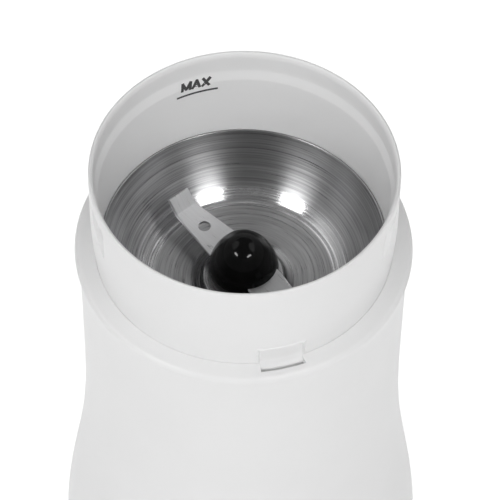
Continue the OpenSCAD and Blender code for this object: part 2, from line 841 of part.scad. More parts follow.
module cooling_fan() color("ivory") difference() {
    union() {
        pin(0, fan_hub_r, fan_z, fan_z + fan_h);
        pin(0, fan_r, fan_z, fan_z + fan_disc_t);
        around([for (i = [0:fan_blades - 1]) 360 * i / fan_blades])
            translate([fan_hub_r - 1, 0, fan_z]) rotate([0, 0, fan_blade_a])
                cube([fan_r - fan_hub_r - 0.2, fan_disc_t, fan_h]);
    }
    pin(0, shaft_r + fit, fan_z - over, fan_z + fan_h + over);
}

module brush_holders() color("gold") around([90, 270]) translate([0, 0, brush_z]) difference() {
    hollow = brush_w + 2 * fit;
    translate([holder_in, -holder_w / 2, -holder_w / 2]) cube([holder_end - holder_in, holder_w, holder_w]);
    translate([commutator_r, -hollow / 2, -hollow / 2])
        cube([holder_end - holder_back - commutator_r, hollow, hollow]);
}

module carbon_brushes() color("black") around([90, 270])
    translate([brush_in, -brush_w / 2, brush_z - brush_w / 2]) cube([brush_l, brush_w, brush_w]);

module brush_springs() color("silver") around([90, 270])
    translate([brush_in + brush_l + fit, 0, brush_z]) rotate([0, 90, 0])
        spring(brush_spring_r, brush_wire, holder_end - holder_back - 2 * fit - brush_in - brush_l);

module motor_bolts() color("gray") around([0, 180]) translate([bolt_at, 0, 0]) {
    nut_z = upper_z + bracket_t;
    translate([0, 0, lower_z]) screw(nut_z + bolt_end - lower_z);
    ring(m_thread + fit, nut_r, nut_z, nut_z + nut_h);
}

module motor_isolators() color("black") around(motor_post_a) translate([motor_post_at, 0, 0]) {
    ring(pilot, isolator_hole_r - fit, upper_z - isolator_t, upper_z + bracket_t + isolator_t);
    for (z = [upper_z - isolator_t, upper_z + bracket_t])
        ring(isolator_hole_r - 2 * fit, ear_r - 0.2, z, z + isolator_t);
}

module bracket_screws() color("gray") around(motor_post_a)
    translate([motor_post_at, 0, upper_z - isolator_t]) screw(isolator_t * 2 + bracket_t + thread_l);

module shell_screws() color("gray") around(shell_boss_a)
    translate([shell_boss_at, 0, lug_z]) screw(lug_t + shell_boss_l);

// ---------- interlock ----------

module interlock_pusher() color("white") at_pocket() {
    stem = [stem_in, stem_in + stem_t];
    pocket_block([stem_in, channel_r - free], [head_z, head_z + head_t], pocket_w - 2 * free);
    outward_box([-stem_w / 2, stem_w / 2], stem, [shelf_z, head_z + head_t]);
    outward_box([-stem_w / 2, stem_w / 2], [switch_in + 1, stem[1]], [shelf_z, shelf_z + shelf_t]);
    outward_pin(0, [switch_in + 1, switch_in + switch_t - 1], shelf_z, foot_ball);
}

module pusher_springs() color("silver") at_pocket() for (s = [-1, 1])
    translate([s * spring_tx, -spring_at, tab_z + fit]) spring(spring_r, spring_wire, spring_h - 2 * fit);

module switch_body() color("dimgray") at_pocket() difference() {
    depth = [switch_in, switch_in + switch_t];
    middle = switch_in + switch_t / 2;
    cut = [depth[0] - over, depth[1] + over];
    union() {
        outward_box([switch_tx, switch_tx + switch_l], depth, [switch_z, switch_top]);
        for (r = [depth[0], depth[1] - ear_t]) {
            outward_box([pivot_tx - pin_ear_r, pivot_tx + pin_ear_r], [r, r + ear_t], [switch_top - 1, pivot_z]);
            outward_pin(pivot_tx, [r, r + ear_t], pivot_z, pin_ear_r);
        }
        for (tx = tab_tx) outward_box([tx, tx + tab_w], [middle - blade_tab_t / 2, middle + blade_tab_t / 2],
                                      [switch_z - tab_l, switch_z + 1]);
    }
    outward_pin(pivot_tx, cut, pivot_z, pin_r + fit);
    translate([plunger_tx, -middle, plunger_top - plunger_l - plunger_room])
        cylinder(r = plunger_r + fit, h = switch_h + plunger_l);
    for (tx = switch_hole_tx) outward_pin(tx, cut, switch_z + switch_hole_up, switch_hole_r);
}

module switch_lever() color("silver") at_pocket() {
    depth = [switch_in, switch_in + switch_t];
    outward_pin(pivot_tx, depth, pivot_z, pin_r);
    outward_pin(pivot_tx, [depth[0] + knuckle_inset, depth[1] - knuckle_inset], pivot_z, knuckle_r);
    translate([pivot_tx, lever_inset - depth[1], pivot_z]) rotate([0, -lever_tilt, 0])
        translate([0, 0, lever_rise]) cube([lever_arm + lever_tail, switch_t - 2 * lever_inset, lever_t]);
}

module switch_plunger() color("red") at_pocket()
    translate([plunger_tx, -switch_in - switch_t / 2, plunger_top - plunger_l]) {
        cylinder(r = plunger_r, h = plunger_l - plunger_tip);
        translate([0, 0, plunger_l - plunger_tip])
            cylinder(r1 = plunger_r, r2 = plunger_r - 0.5, h = plunger_tip);
    }

module switch_bracket() color("silver") at_pocket() difference() {
    top = skirt_z - fit;
    plate = [hanger_in, hanger_in + hanger_t];
    union() {
        outward_box([switch_tx, switch_tx + hanger_l], plate, [switch_z, switch_top - hanger_drop]);
        for (tx = hanger_legs) {
            outward_box(tx, plate, [switch_z, top]);
            outward_box(tx, [hanger_screw_at - hanger_flange, plate[1]], [top - hanger_t, top]);
        }
    }
    for (tx = hanger_screw_tx) translate([tx, -hanger_screw_at, top - hanger_t - over])
        cylinder(r = switch_hole_r, h = hanger_t + 2 * over);
    for (tx = switch_hole_tx) outward_pin(tx, [plate[0] - over, plate[1] + over], switch_z + switch_hole_up,
                                          small_thread + fit);
}

module switch_screws() color("gray") at_pocket() {
    for (tx = hanger_screw_tx) translate([tx, -hanger_screw_at, skirt_z - hanger_t - fit])
        screw(hanger_t + hanger_thread_l, small_head, small_thread);
    for (tx = switch_hole_tx) translate([tx, -switch_in, switch_z + switch_hole_up]) rotate([90, 0, 0])
        screw(switch_t + hanger_t, 2, small_thread);
}

// ---------- base ----------

module base_plate() color("whitesmoke") difference() {
    union() {
        pin(0, plate_r, plate_z, plate_top);
        for (s = [-1, 1]) translate([s * post_x, post_y, plate_z + over])
            cylinder(r = post_r, h = cleat_top - plate_z - over);
        translate([-post_x, post_y - cleat_w / 2, plate_z + over])
            cube([2 * post_x, cleat_w, inlet_z - inlet_r - plate_z - over]);
    }
    around(base_screw_a) {
        pin(screw_at, pilot + seam_gap, plate_z - over, plate_top + over);
        pin(screw_at, m_head + 0.2, plate_z - over, plate_z + sink);
    }
    around(foot_a) pin(foot_at, peg_r + fit, plate_z - over, plate_top + over);
    // air slots under the motor
    for (x = [-5 * vent_pitch:vent_pitch:5 * vent_pitch]) let (half = sqrt(vent_r * vent_r - x * x))
        translate([x - vent_w / 2, -half, plate_z - over]) cube([vent_w, 2 * half, plate_t + 2 * over]);
    for (s = [-1, 1]) translate([s * post_x, post_y, plate_top]) cylinder(r = pilot, h = cleat_top);
}

module base_screws() color("gray") around(base_screw_a) translate([screw_at, 0, plate_z + sink])
    screw(base_screw_l, head_h = sink);

module rubber_feet() color("dimgray") around(foot_a) translate([foot_at, 0, 0]) {
    cylinder(r1 = foot_r - foot_edge, r2 = foot_r, h = foot_edge);
    pin(0, foot_r, foot_edge, foot_h);
    pin(0, peg_r, foot_edge, plate_top);
    translate([0, 0, plate_top]) cylinder(r1 = barb_r, r2 = peg_r - 0.5, h = barb_h);
}

module cord_grommet() color("dimgray") translate([0, inlet_back, inlet_z]) rotate([-90, 0, 0]) difference() {
    union() {
        pin(0, inner_flange_r, -flange_t, -fit);
        pin(0, grommet_r, -flange_t, inlet_l + flange_t / 2);
        pin(0, outer_flange_r, inlet_l + fit, inlet_l + fit + flange_t);
    }
    pin(0, inlet_r, -flange_t - over, inlet_l + flange_t + 2 * over);
}

module cord_clamp() color("whitesmoke") translate([0, post_y, cleat_top]) difference() {
    union() {
        translate([-post_x - post_r, -clamp_w / 2, 0]) cube([2 * (post_x + post_r), clamp_w, clamp_t]);
        translate([-tooth[0] / 2, -tooth[1] / 2, clamp_t - over]) cube([tooth[0], tooth[1], tooth[2] + over]);
    }
    for (s = [-1, 1]) translate([s * post_x, 0, -over]) cylinder(r = pilot, h = clamp_t + 2 * over);
}

module clamp_screws() color("gray") for (s = [-1, 1]) translate([s * post_x, post_y, cleat_top + clamp_t])
    rotate([180, 0, 0]) screw(clamp_screw_l);

// Lead wires, along routes chosen by hand between the inlet, the switch and the brushes
lead_r = 0.8;
lead_end = 0.4;                                        // insulation ends short of each terminal
lane_r = (stator_r + waist_inside) / 2;                // between the stator and the housing
turn_z = switch_z - 8.3;
tab_end = switch_z - tab_l - lead_end;
tab_at = switch_in + switch_t / 2;
function lane(a, z, inset = 0) = [(lane_r - inset) * cos(a), (lane_r - inset) * sin(a), z];
function between(z0, z1, f) = z0 + f * (z1 - z0);
leads = [
    [[-2.5, post_y - 5, inlet_z], lane(124, inlet_z + 2, 9.5), lane(144, between(inlet_z, turn_z, 0.11), 2.5),
     lane(164, between(inlet_z, turn_z, 0.26), 1.4), lane(183, between(inlet_z, turn_z, 0.49), 0.6),
     lane(204, between(inlet_z, turn_z, 0.74)), lane(229, between(inlet_z, turn_z, 0.94), 1.3),
     lane(254, turn_z, 1.4),
     from_pocket(tab_tx[0], tab_at + 2, turn_z), from_pocket(tab_tx[0] + tab_w / 2, tab_at, tab_end)],
    [from_pocket(tab_tx[2] + tab_w / 2, tab_at, tab_end), lane(-66.6, turn_z - 1, 2),
     lane(-76.4, between(brush_z, turn_z, 0.8), 0.7), lane(-85, between(brush_z, turn_z, 0.46), 0.5),
     lane(-90, between(brush_z, turn_z, 0.16), 2.6), [0, -holder_end - lead_end, brush_z]],
    [[2.5, post_y - 5, inlet_z], [9, post_y - 7, inlet_z + 3], [13, post_y - 2, between(inlet_z, brush_z, 0.34)],
     [8, post_y + 5, between(inlet_z, brush_z, 0.61)], [0, post_y + 5, between(inlet_z, brush_z, 0.915)],
     [0, holder_end + lead_end, brush_z]]
];

module lead_wires() color("navy") for (p = leads) swept(smooth(p), lead_r, 8);

body_shell();
collar();
bowl();
bowl_gasket();
shaft_seal();
blade();
blade_hub();
dome_cap();
motor_shaft();
upper_bracket();
upper_bush();
lower_bracket();
lower_bush();
stator_core();
field_coils();
armature_core();
armature_windings();
commutator();
cooling_fan();
brush_holders();
carbon_brushes();
brush_springs();
motor_bolts();
motor_isolators();
bracket_screws();
shell_screws();
interlock_pusher();
pusher_springs();
switch_body();
switch_lever();
switch_plunger();
switch_bracket();
switch_screws();
base_plate();
base_screws();
rubber_feet();
cord_grommet();
cord_clamp();
clamp_screws();
lead_wires();
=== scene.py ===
"""Looks of an electric spice grinder: waisted white housing, steel bowl, two-winged blade.

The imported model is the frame. Each visible main piece is a surface worked out with numpy
that stands for its CAD node, and every other node keeps its shape and gets a finish.
Lengths are millimetres, angles are degrees, and metres appear only where a mesh or a
light is written. Angles round the axis are counted from the front (-Y) towards +X.
"""
import enum
import json
import logging
import math
from dataclasses import dataclass
from typing import Optional, Sequence, Union

import bmesh
import bpy
import numpy as np
from mathutils import Matrix, Vector


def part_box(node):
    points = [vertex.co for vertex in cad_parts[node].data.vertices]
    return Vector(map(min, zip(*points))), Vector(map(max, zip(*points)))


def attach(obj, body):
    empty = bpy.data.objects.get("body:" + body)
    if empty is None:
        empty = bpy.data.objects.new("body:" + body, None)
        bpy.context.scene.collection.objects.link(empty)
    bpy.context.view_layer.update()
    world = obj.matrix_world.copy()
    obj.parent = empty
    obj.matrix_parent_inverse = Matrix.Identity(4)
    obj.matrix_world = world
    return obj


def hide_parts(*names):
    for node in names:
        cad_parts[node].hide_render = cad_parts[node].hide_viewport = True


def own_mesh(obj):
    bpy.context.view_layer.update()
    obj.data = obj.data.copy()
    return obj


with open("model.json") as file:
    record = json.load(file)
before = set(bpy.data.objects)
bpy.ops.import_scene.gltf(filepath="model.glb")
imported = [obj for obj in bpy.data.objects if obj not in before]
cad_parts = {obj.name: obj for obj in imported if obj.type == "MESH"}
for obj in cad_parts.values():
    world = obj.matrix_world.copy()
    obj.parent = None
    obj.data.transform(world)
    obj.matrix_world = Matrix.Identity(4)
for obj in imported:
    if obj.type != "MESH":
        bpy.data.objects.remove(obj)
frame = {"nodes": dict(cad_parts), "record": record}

log = logging.getLogger("spice_grinder")

MM = 0.001
SURFACE_MAP = "Surface"
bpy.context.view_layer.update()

Colour = tuple[float, float, float]
Socket = Union[bpy.types.NodeSocket, float, tuple, str, bool]


# ---------------------------------------------------------------- curves

def arc(centre: Sequence[float], radius: float, start: float, end: float, steps: int = 8) -> np.ndarray:
    """Points of a circular arc: centre + radius (cos a, sin a), with a even from start to end.

    Args:
        centre: radius and height of the arc's centre.
        radius: radius of the arc.
        start: first angle.
        end: last angle.
        steps: number of chords.

    Returns:
        An array (steps + 1, 2).
    """
    a = np.radians(np.linspace(start, end, steps + 1))
    return np.asarray(centre) + radius * np.stack([np.cos(a), np.sin(a)], axis=1)


def bend(a: Sequence[float], b: Sequence[float], c: Sequence[float], steps: int = 24) -> np.ndarray:
    """Curve that leaves a towards b and reaches c: (1-t)^2 a + 2 t (1-t) b + t^2 c.

    Args:
        a: first point.
        b: point that the curve heads for.
        c: last point.
        steps: number of chords.

    Returns:
        An array (steps + 1, 2).
    """
    t = np.linspace(0.0, 1.0, steps + 1)[:, None]
    return (1 - t) ** 2 * np.asarray(a) + 2 * t * (1 - t) * np.asarray(b) + t ** 2 * np.asarray(c)


def path_length(line: np.ndarray) -> np.ndarray:
    """Length along a line up to each of its points."""
    return np.concatenate([[0.0], np.cumsum(np.linalg.norm(np.diff(line, axis=0), axis=1))])


def filled(line: np.ndarray, step: float) -> np.ndarray:
    """The same line with points added so that no chord is longer than a step.

    Args:
        line: points (n, 2).
        step: longest chord.

    Returns:
        The old points and, between them, new ones evenly spaced on each chord.
    """
    s = path_length(line)
    parts = [np.linspace(s[i], s[i + 1], max(1, math.ceil((s[i + 1] - s[i]) / step)), endpoint=False)
             for i in range(len(s) - 1)]
    at = np.concatenate(parts + [s[-1:]])
    return np.stack([np.interp(at, s, line[:, k]) for k in (0, 1)], axis=1)


def beside(line: np.ndarray, distance: float) -> np.ndarray:
    """The line moved to its right by a distance, along the normal of the chord round each point.

    Args:
        line: points (n, 2).
        distance: how far to move them; negative moves to the left.

    Returns:
        Points (n, 2).
    """
    ahead = np.vstack([line[1:], line[-1:]])
    behind = np.vstack([line[:1], line[:-1]])
    along = (ahead - behind) / np.linalg.norm(ahead - behind, axis=1, keepdims=True)
    return line + distance * np.stack([along[:, 1], -along[:, 0]], axis=1)


def eased(x: np.ndarray) -> np.ndarray:
    """Smooth step from 0 to 1: 3 x^2 - 2 x^3, with x held between 0 and 1."""
    x = np.clip(x, 0.0, 1.0)
    return x * x * (3 - 2 * x)


def inside_depth(x: np.ndarray, y: np.ndarray, corners: np.ndarray) -> np.ndarray:
    """How deep points lie inside a convex outline: the least distance to its sides.

    Args:
        x: first coordinates, any shape.
        y: second coordinates, the same shape.
        corners: outline (n, 2), counter-clockwise.

    Returns:
        Positive inside, negative outside.
    """
    nxt = np.roll(corners, -1, axis=0)
    side = nxt - corners
    normal = np.stack([-side[:, 1], side[:, 0]], axis=1) / np.linalg.norm(side, axis=1, keepdims=True)
    gap = (np.stack([x, y], axis=-1)[..., None, :] - corners) * normal
    return gap.sum(axis=-1).min(axis=-1)


# ---------------------------------------------------------------- surfaces

@dataclass
class Skin:
    """A closed surface: points (n, 3), faces (m, 4) and one UV pair per point."""

    points: np.ndarray
    faces: np.ndarray
    uv: np.ndarray

    @classmethod
    def from_grid(cls, grid: np.ndarray, keep: Optional[np.ndarray] = None) -> "Skin":
        """Faces between neighbours of a grid of points (rows, columns, 3).

        Args:
            grid: the points; the first and last row or column may coincide.
            keep: which cells (rows - 1, columns - 1) get a face.

        Returns:
            The skin, with u along the columns and v by mean length along the rows.
        """
        rows, cols = grid.shape[:2]
        index = np.arange(rows * cols).reshape(rows, cols)
        faces = cell_faces(index)
        faces = faces[keep] if keep is not None else faces.reshape(-1, 4)
        steps = np.linalg.norm(np.diff(grid, axis=0), axis=2).mean(axis=1)
        v = np.concatenate([[0.0], np.cumsum(steps)])
        u, v = np.meshgrid(np.linspace(0, 1, cols), v / max(v[-1], 1e-9))
        return cls(grid.reshape(-1, 3), faces, np.stack([u, v], axis=-1).reshape(-1, 2))

    def __add__(self, other: "Skin") -> "Skin":
        """Both surfaces as one."""
        return Skin(np.vstack([self.points, other.points]),
                    np.vstack([self.faces, other.faces + len(self.points)]),
                    np.vstack([self.uv, other.uv]))

    def outward(self) -> "Skin":
        """The skin with its faces turned outwards, told from the sign of the volume they enclose.

        Returns:
            This skin, or one with every face turned over.
        """
        p = self.points[self.faces]
        volume = sum(np.einsum("ij,ij->i", p[:, 0], np.cross(p[:, k], p[:, k + 1])).sum()
                     for k in (1, 2))
        return self if volume > 0 else Skin(self.points, self.faces[:, ::-1], self.uv)

    def turned(self, angle: float) -> "Skin":
        """The skin turned about the upright axis."""
        c, s = math.cos(math.radians(angle)), math.sin(math.radians(angle))
        return Skin(self.points @ np.array([[c, s, 0], [-s, c, 0], [0, 0, 1]]), self.faces, self.uv)

    def moved(self, x: float, y: float, z: float) -> "Skin":
        """The skin moved."""
        return Skin(self.points + np.array([x, y, z]), self.faces, self.uv)

    def laid_back(self) -> "Skin":
        """The skin laid down, so that its upright axis points to the back: (x, y, z) to (x, z, -y)."""
        return Skin(self.points[:, [0, 2, 1]] * np.array([1, 1, -1]), self.faces, self.uv).outward()


def joined(parts: Sequence[Skin]) -> Skin:
    """Several surfaces as one, in their order."""
    return sum(parts[1:], parts[0])


def cell_faces(index: np.ndarray) -> np.ndarray:
    """Corners (rows - 1, columns - 1, 4) of the cells of a grid of point numbers, columns first."""
    return np.stack([index[:-1, :-1], index[:-1, 1:], index[1:, 1:], index[1:, :-1]], axis=-1)


def carried_round(radius: np.ndarray, height: np.ndarray, angle: np.ndarray) -> np.ndarray:
    """Points (r sin a, -r cos a, z) of a profile carried round the axis; the arrays broadcast."""
    radius, height, angle = np.broadcast_arrays(radius, height, np.radians(angle))
    return np.stack([radius * np.sin(angle), -radius * np.cos(angle), height], axis=-1)


def turned_solid(profile: np.ndarray, columns: int) -> Skin:
    """Solid of revolution of a profile that is closed or ends on the axis, seamed at the back.

    Args:
        profile: points (n, 2) of radius and height.
        columns: faces round the axis.

    Returns:
        The closed skin.
    """
    angle = np.linspace(180.0, 540.0, columns + 1)
    grid = carried_round(profile[:, :1], profile[:, 1:], angle[None, :])
    return Skin.from_grid(grid).outward()


def sector_block(profile: np.ndarray, start: float, end: float, step: float = 1.5) -> Skin:
    """Closed block: a convex closed profile carried round part of the axis, with flat ends.

    The end rows repeat the profile shrunk to its middle, so that the ends are closed.

    Args:
        profile: corners (n, 2) of radius and height.
        start: angle of one end.
        end: angle of the other.
        step: widest angle between rows.

    Returns:
        The closed skin.
    """
    steps = max(2, math.ceil((end - start) / step))
    loop = np.vstack([profile, profile[:1]])
    middle = profile.mean(axis=0)
    angle = np.linspace(start, end, steps + 1)
    angle = np.concatenate([angle[:1], angle, angle[-1:]])
    share = np.ones(len(angle))
    share[[0, -1]] = 0.0
    r = middle[0] + (loop[:, 0] - middle[0])[:, None] * share
    z = middle[1] + (loop[:, 1] - middle[1])[:, None] * share
    return Skin.from_grid(carried_round(r, z, angle[None, :])).outward()


def tube(outer: float, inner: float, low: float, high: float, edge: float = 0.2) -> Skin:
    """Upright tube on the axis, with chamfered outer edges.

    Args:
        outer: outer radius.
        inner: radius of the bore.
        low: height of the lower end.
        high: height of the upper end.
        edge: size of the chamfers.

    Returns:
        The closed skin.
    """
    profile = np.array([[inner, low], [outer - edge, low], [outer, low + edge], [outer, high - edge],
                        [outer - edge, high], [inner, high], [inner, low]])
    return turned_solid(profile, 32)


def box_profile(inner: float, outer: float, low: float, high: float) -> np.ndarray:
    """Corners of a rectangle between two radii and two heights."""
    return np.array([[inner, low], [outer, low], [outer, high], [inner, high]])


def half_angle(half_width: float, radius: float) -> float:
    """Angle that half a width spans at a radius: its arc sine."""
    return math.degrees(math.asin(half_width / radius))


def broken_edges(piece: bpy.types.Object, width: float, angle: float) -> None:
    """Rounds each edge that turns by more than an angle, with a bevel of two faces.

    Args:
        piece: object that gets the bevel.
        width: width of the bevel.
        angle: least turn of a rounded edge.
    """
    bevel = piece.modifiers.new("broken_edges", "BEVEL")
    bevel.width, bevel.segments, bevel.limit_method = width * MM, 2, "ANGLE"
    bevel.angle_limit = math.radians(angle)


def make_object(name: str, skin: Skin, sharp: float = 40.0) -> bpy.types.Object:
    """Writes a skin into a mesh, merges its seams and poles, and shades it smooth by angle.

    Args:
        name: name of the object.
        skin: the surface, in millimetres.
        sharp: edges that turn more than this stay sharp.

    Returns:
        The object, linked to the scene.
    """
    mesh = bpy.data.meshes.new(name)
    mesh.from_pydata((skin.points * MM).tolist(), [], skin.faces.tolist())
    layer = mesh.uv_layers.new(name=SURFACE_MAP)
    corner = np.empty(len(mesh.loops), dtype=np.int32)
    mesh.loops.foreach_get("vertex_index", corner)
    layer.data.foreach_set("uv", skin.uv[corner].ravel().astype(np.float32))
    work = bmesh.new()
    work.from_mesh(mesh)
    bmesh.ops.remove_doubles(work, verts=work.verts, dist=2e-7)
    bmesh.ops.dissolve_degenerate(work, dist=1e-7, edges=work.edges)
    work.to_mesh(mesh)
    work.free()
    mesh.polygons.foreach_set("use_smooth", np.ones(len(mesh.polygons), dtype=bool))
    mesh.set_sharp_from_angle(angle=math.radians(sharp))
    piece = bpy.data.objects.new(name, mesh)
    bpy.context.scene.collection.objects.link(piece)
    return piece


def placed(piece: bpy.types.Object, body: str, slot: str,
           stands_for: Sequence[str] = ()) -> bpy.types.Object:
    """Gives a new piece its body and finish, and hides the CAD nodes that it stands for.

    Args:
        piece: the finished object.
        body: CAD body that it rides on.
        slot: material slot of the record.
        stands_for: CAD nodes that it replaces.

    Returns:
        The same object.
    """
    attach(piece, body)
    if stands_for:
        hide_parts(*stands_for)
    FINISHES[slot].dress(piece)
    log.info("%s: %d faces on %s in %s", piece.name, len(piece.data.polygons), body, slot)
    return piece


def carved(piece: bpy.types.Object, cutter: bpy.types.Object) -> None:
    """Cuts one mesh out of another for good and deletes the cutter.

    Args:
        piece: object that is cut.
        cutter: closed object whose inside is taken away.
    """
    cut = piece.modifiers.new("cut", "BOOLEAN")
    cut.operation = "DIFFERENCE"
    cut.solver = "EXACT"
    cut.object = cutter
    graph = bpy.context.evaluated_depsgraph_get()
    mesh = bpy.data.meshes.new_from_object(piece.evaluated_get(graph))
    piece.modifiers.clear()
    piece.data = mesh
    bpy.data.objects.remove(cutter)


# ---------------------------------------------------------------- finishes

class Lay(enum.Enum):
    """Which way the fine lines of a turned, drawn or stacked finish run."""

    AROUND = "around"
    ALONG = "along"
    STACKED = "stacked"


class Graph:
    """A material's node tree, written one node at a time round a Principled shader."""

    def __init__(self, name: str) -> None:
        """Starts a material of that name with its shader and output.

        Args:
            name: name of the material.
        """
        self.material = bpy.data.materials.new(name)
        self.material.use_nodes = True
        self.tree = self.material.node_tree
        self.tree.nodes.clear()
        self.shader = self.node("ShaderNodeBsdfPrincipled")
        self.output = self.node("ShaderNodeOutputMaterial")
        self.tree.links.new(self.shader.outputs[0], self.output.inputs["Surface"])

    def node(self, kind: str, sockets: Optional[dict] = None, **settings: Socket) -> bpy.types.Node:
        """Adds a node.

        Args:
            kind: Blender's name of the node type.
            sockets: inputs by name or number; a socket is linked and a value is set.
            settings: properties of the node itself.

        Returns:
            The node.
        """
        node = self.tree.nodes.new(kind)
        for key, value in settings.items():
            setattr(node, key, value)
        for key, value in (sockets or {}).items():
            if isinstance(value, bpy.types.NodeSocket):
                self.tree.links.new(value, node.inputs[key])
            else:
                node.inputs[key].default_value = value
        return node

    def place(self) -> bpy.types.NodeSocket:
        """Object coordinates of the shaded point, in metres."""
        return self.node("ShaderNodeTexCoord").outputs["Object"]

    def math(self, operation: str, *values: Socket) -> bpy.types.NodeSocket:
        """One Math node."""
        return self.node("ShaderNodeMath", dict(enumerate(values)), operation=operation).outputs[0]

    def vector(self, operation: str, *values: Socket) -> bpy.types.NodeSocket:
        """One Vector Math node; a length comes out of a socket of its own."""
        node = self.node("ShaderNodeVectorMath", dict(enumerate(values)), operation=operation)
        return node.outputs["Value" if operation == "LENGTH" else 0]

    def joint(self, x: Socket, y: Socket, z: Socket = 0.0) -> bpy.types.NodeSocket:
        """A vector from its three parts."""
        return self.node("ShaderNodeCombineXYZ", {"X": x, "Y": y, "Z": z}).outputs[0]

    def noise(self, vector: bpy.types.NodeSocket, scale: float, detail: float = 2.0,
              rough: float = 0.5) -> bpy.types.NodeSocket:
        """Noise from 0 to 1; scale is in cycles per metre of the vector."""
        sockets = {"Vector": vector, "Scale": scale, "Detail": detail, "Roughness": rough}
        return self.node("ShaderNodeTexNoise", sockets).outputs[0]

    def ranged(self, value: bpy.types.NodeSocket, low: float, high: float, start: float = 0.3,
               end: float = 0.7) -> bpy.types.NodeSocket:
        """The value mapped from start..end to low..high."""
        sockets = {"Value": value, "From Min": start, "From Max": end, "To Min": low, "To Max": high}
        return self.node("ShaderNodeMapRange", sockets).outputs[0]

    def tinted(self, colour: Colour, value: bpy.types.NodeSocket, spread: float) -> bpy.types.NodeSocket:
        """The colour made darker and lighter by a spread as the value goes from 0.3 to 0.7.

        Args:
            colour: the middle colour.
            value: value from 0 to 1.
            spread: share by which the colour changes either way.

        Returns:
            Colour socket.
        """
        ramp = self.node("ShaderNodeValToRGB", {0: value})
        for stop, at, share in zip(ramp.color_ramp.elements, (0.3, 0.7), (1 - spread, 1 + spread)):
            stop.position = at
            stop.color = (*(min(1.0, c * share) for c in colour), 1.0)
        return ramp.outputs[0]

    def bumped(self, height: bpy.types.NodeSocket, depth: float) -> None:
        """Bumps the shader by a height whose full range is a depth in millimetres."""
        sockets = {"Height": height, "Distance": depth * MM, "Strength": 1.0}
        self.set("Normal", self.node("ShaderNodeBump", sockets).outputs[0])

    def set(self, name: str, value: Socket) -> None:
        """Sets or links one input of the shader."""
        socket = self.shader.inputs[name]
        if isinstance(value, bpy.types.NodeSocket):
            self.tree.links.new(value, socket)
        else:
            socket.default_value = value


@dataclass(frozen=True)
class Finish:
    """What every finish has: a name, a colour and a roughness."""

    name: str
    colour: Colour
    roughness: float

    @property
    def title(self) -> str:
        """Name of the material, apart from those that come with the CAD model."""
        return f"{self.name}_finish"

    def dress(self, piece: bpy.types.Object) -> None:
        """Puts this finish alone on a piece, making its material the first time.

        Args:
            piece: object that gets the finish.
        """
        material = bpy.data.materials.get(self.title) or self.build()
        piece.data.materials.clear()
        piece.data.materials.append(material)

    def build(self) -> bpy.types.Material:
        """Makes the material."""
        raise NotImplementedError


@dataclass(frozen=True)
class MouldedPlastic(Finish):
    """Moulded plastic or rubber: faint mottle, fine skin texture and uneven gloss.

    Args:
        grain: size of the skin texture.
        depth: height of the skin texture.
        mottle: how far the colour varies.
        unevenness: how far the roughness varies.
    """

    grain: float = 0.5
    depth: float = 0.01
    mottle: float = 0.01
    unevenness: float = 0.05

    def build(self) -> bpy.types.Material:
        """Mottle from a wide noise, roughness from a middle one and bump from a fine one.

        Returns:
            The material.
        """
        g = Graph(self.title)
        place = g.place()
        wide = g.noise(place, 60.0)
        middle = g.noise(place, 350.0, 3.0)
        fine = g.noise(place, 1000.0 / self.grain, 3.0, 0.6)
        g.set("Base Color", g.tinted(self.colour, wide, self.mottle))
        uneven = self.unevenness
        g.set("Roughness", g.ranged(middle, self.roughness - uneven, self.roughness + uneven))
        g.bumped(fine, self.depth)
        return g.material


@dataclass(frozen=True)
class PolishedPlastic(Finish):
    """High-gloss moulding with hairline scuffs that only break up its reflections.

    Args:
        scuff: how much rougher the scuffs are.
        sheen: strength of the reflection.
    """

    scuff: float = 0.03
    sheen: float = 0.3

    def build(self) -> bpy.types.Material:
        """Scuffs are a noise stretched along one direction that itself wanders.

        Returns:
            The material.
        """
        g = Graph(self.title)
        place = g.place()
        wide = g.noise(place, 90.0)
        stretched = g.node("ShaderNodeMapping", {"Vector": place, "Scale": (900.0, 9000.0, 2500.0),
                                                 "Rotation": (0.3, 0.2, 0.6)}).outputs[0]
        scuffs = g.noise(stretched, 1.0, 2.0)
        g.set("Base Color", g.tinted(self.colour, wide, 0.1))
        g.set("Roughness", g.ranged(scuffs, self.roughness, self.roughness + self.scuff, 0.55, 0.75))
        g.bumped(g.noise(place, 220.0), 0.02)
        g.set("Specular IOR Level", self.sheen)
        return g.material


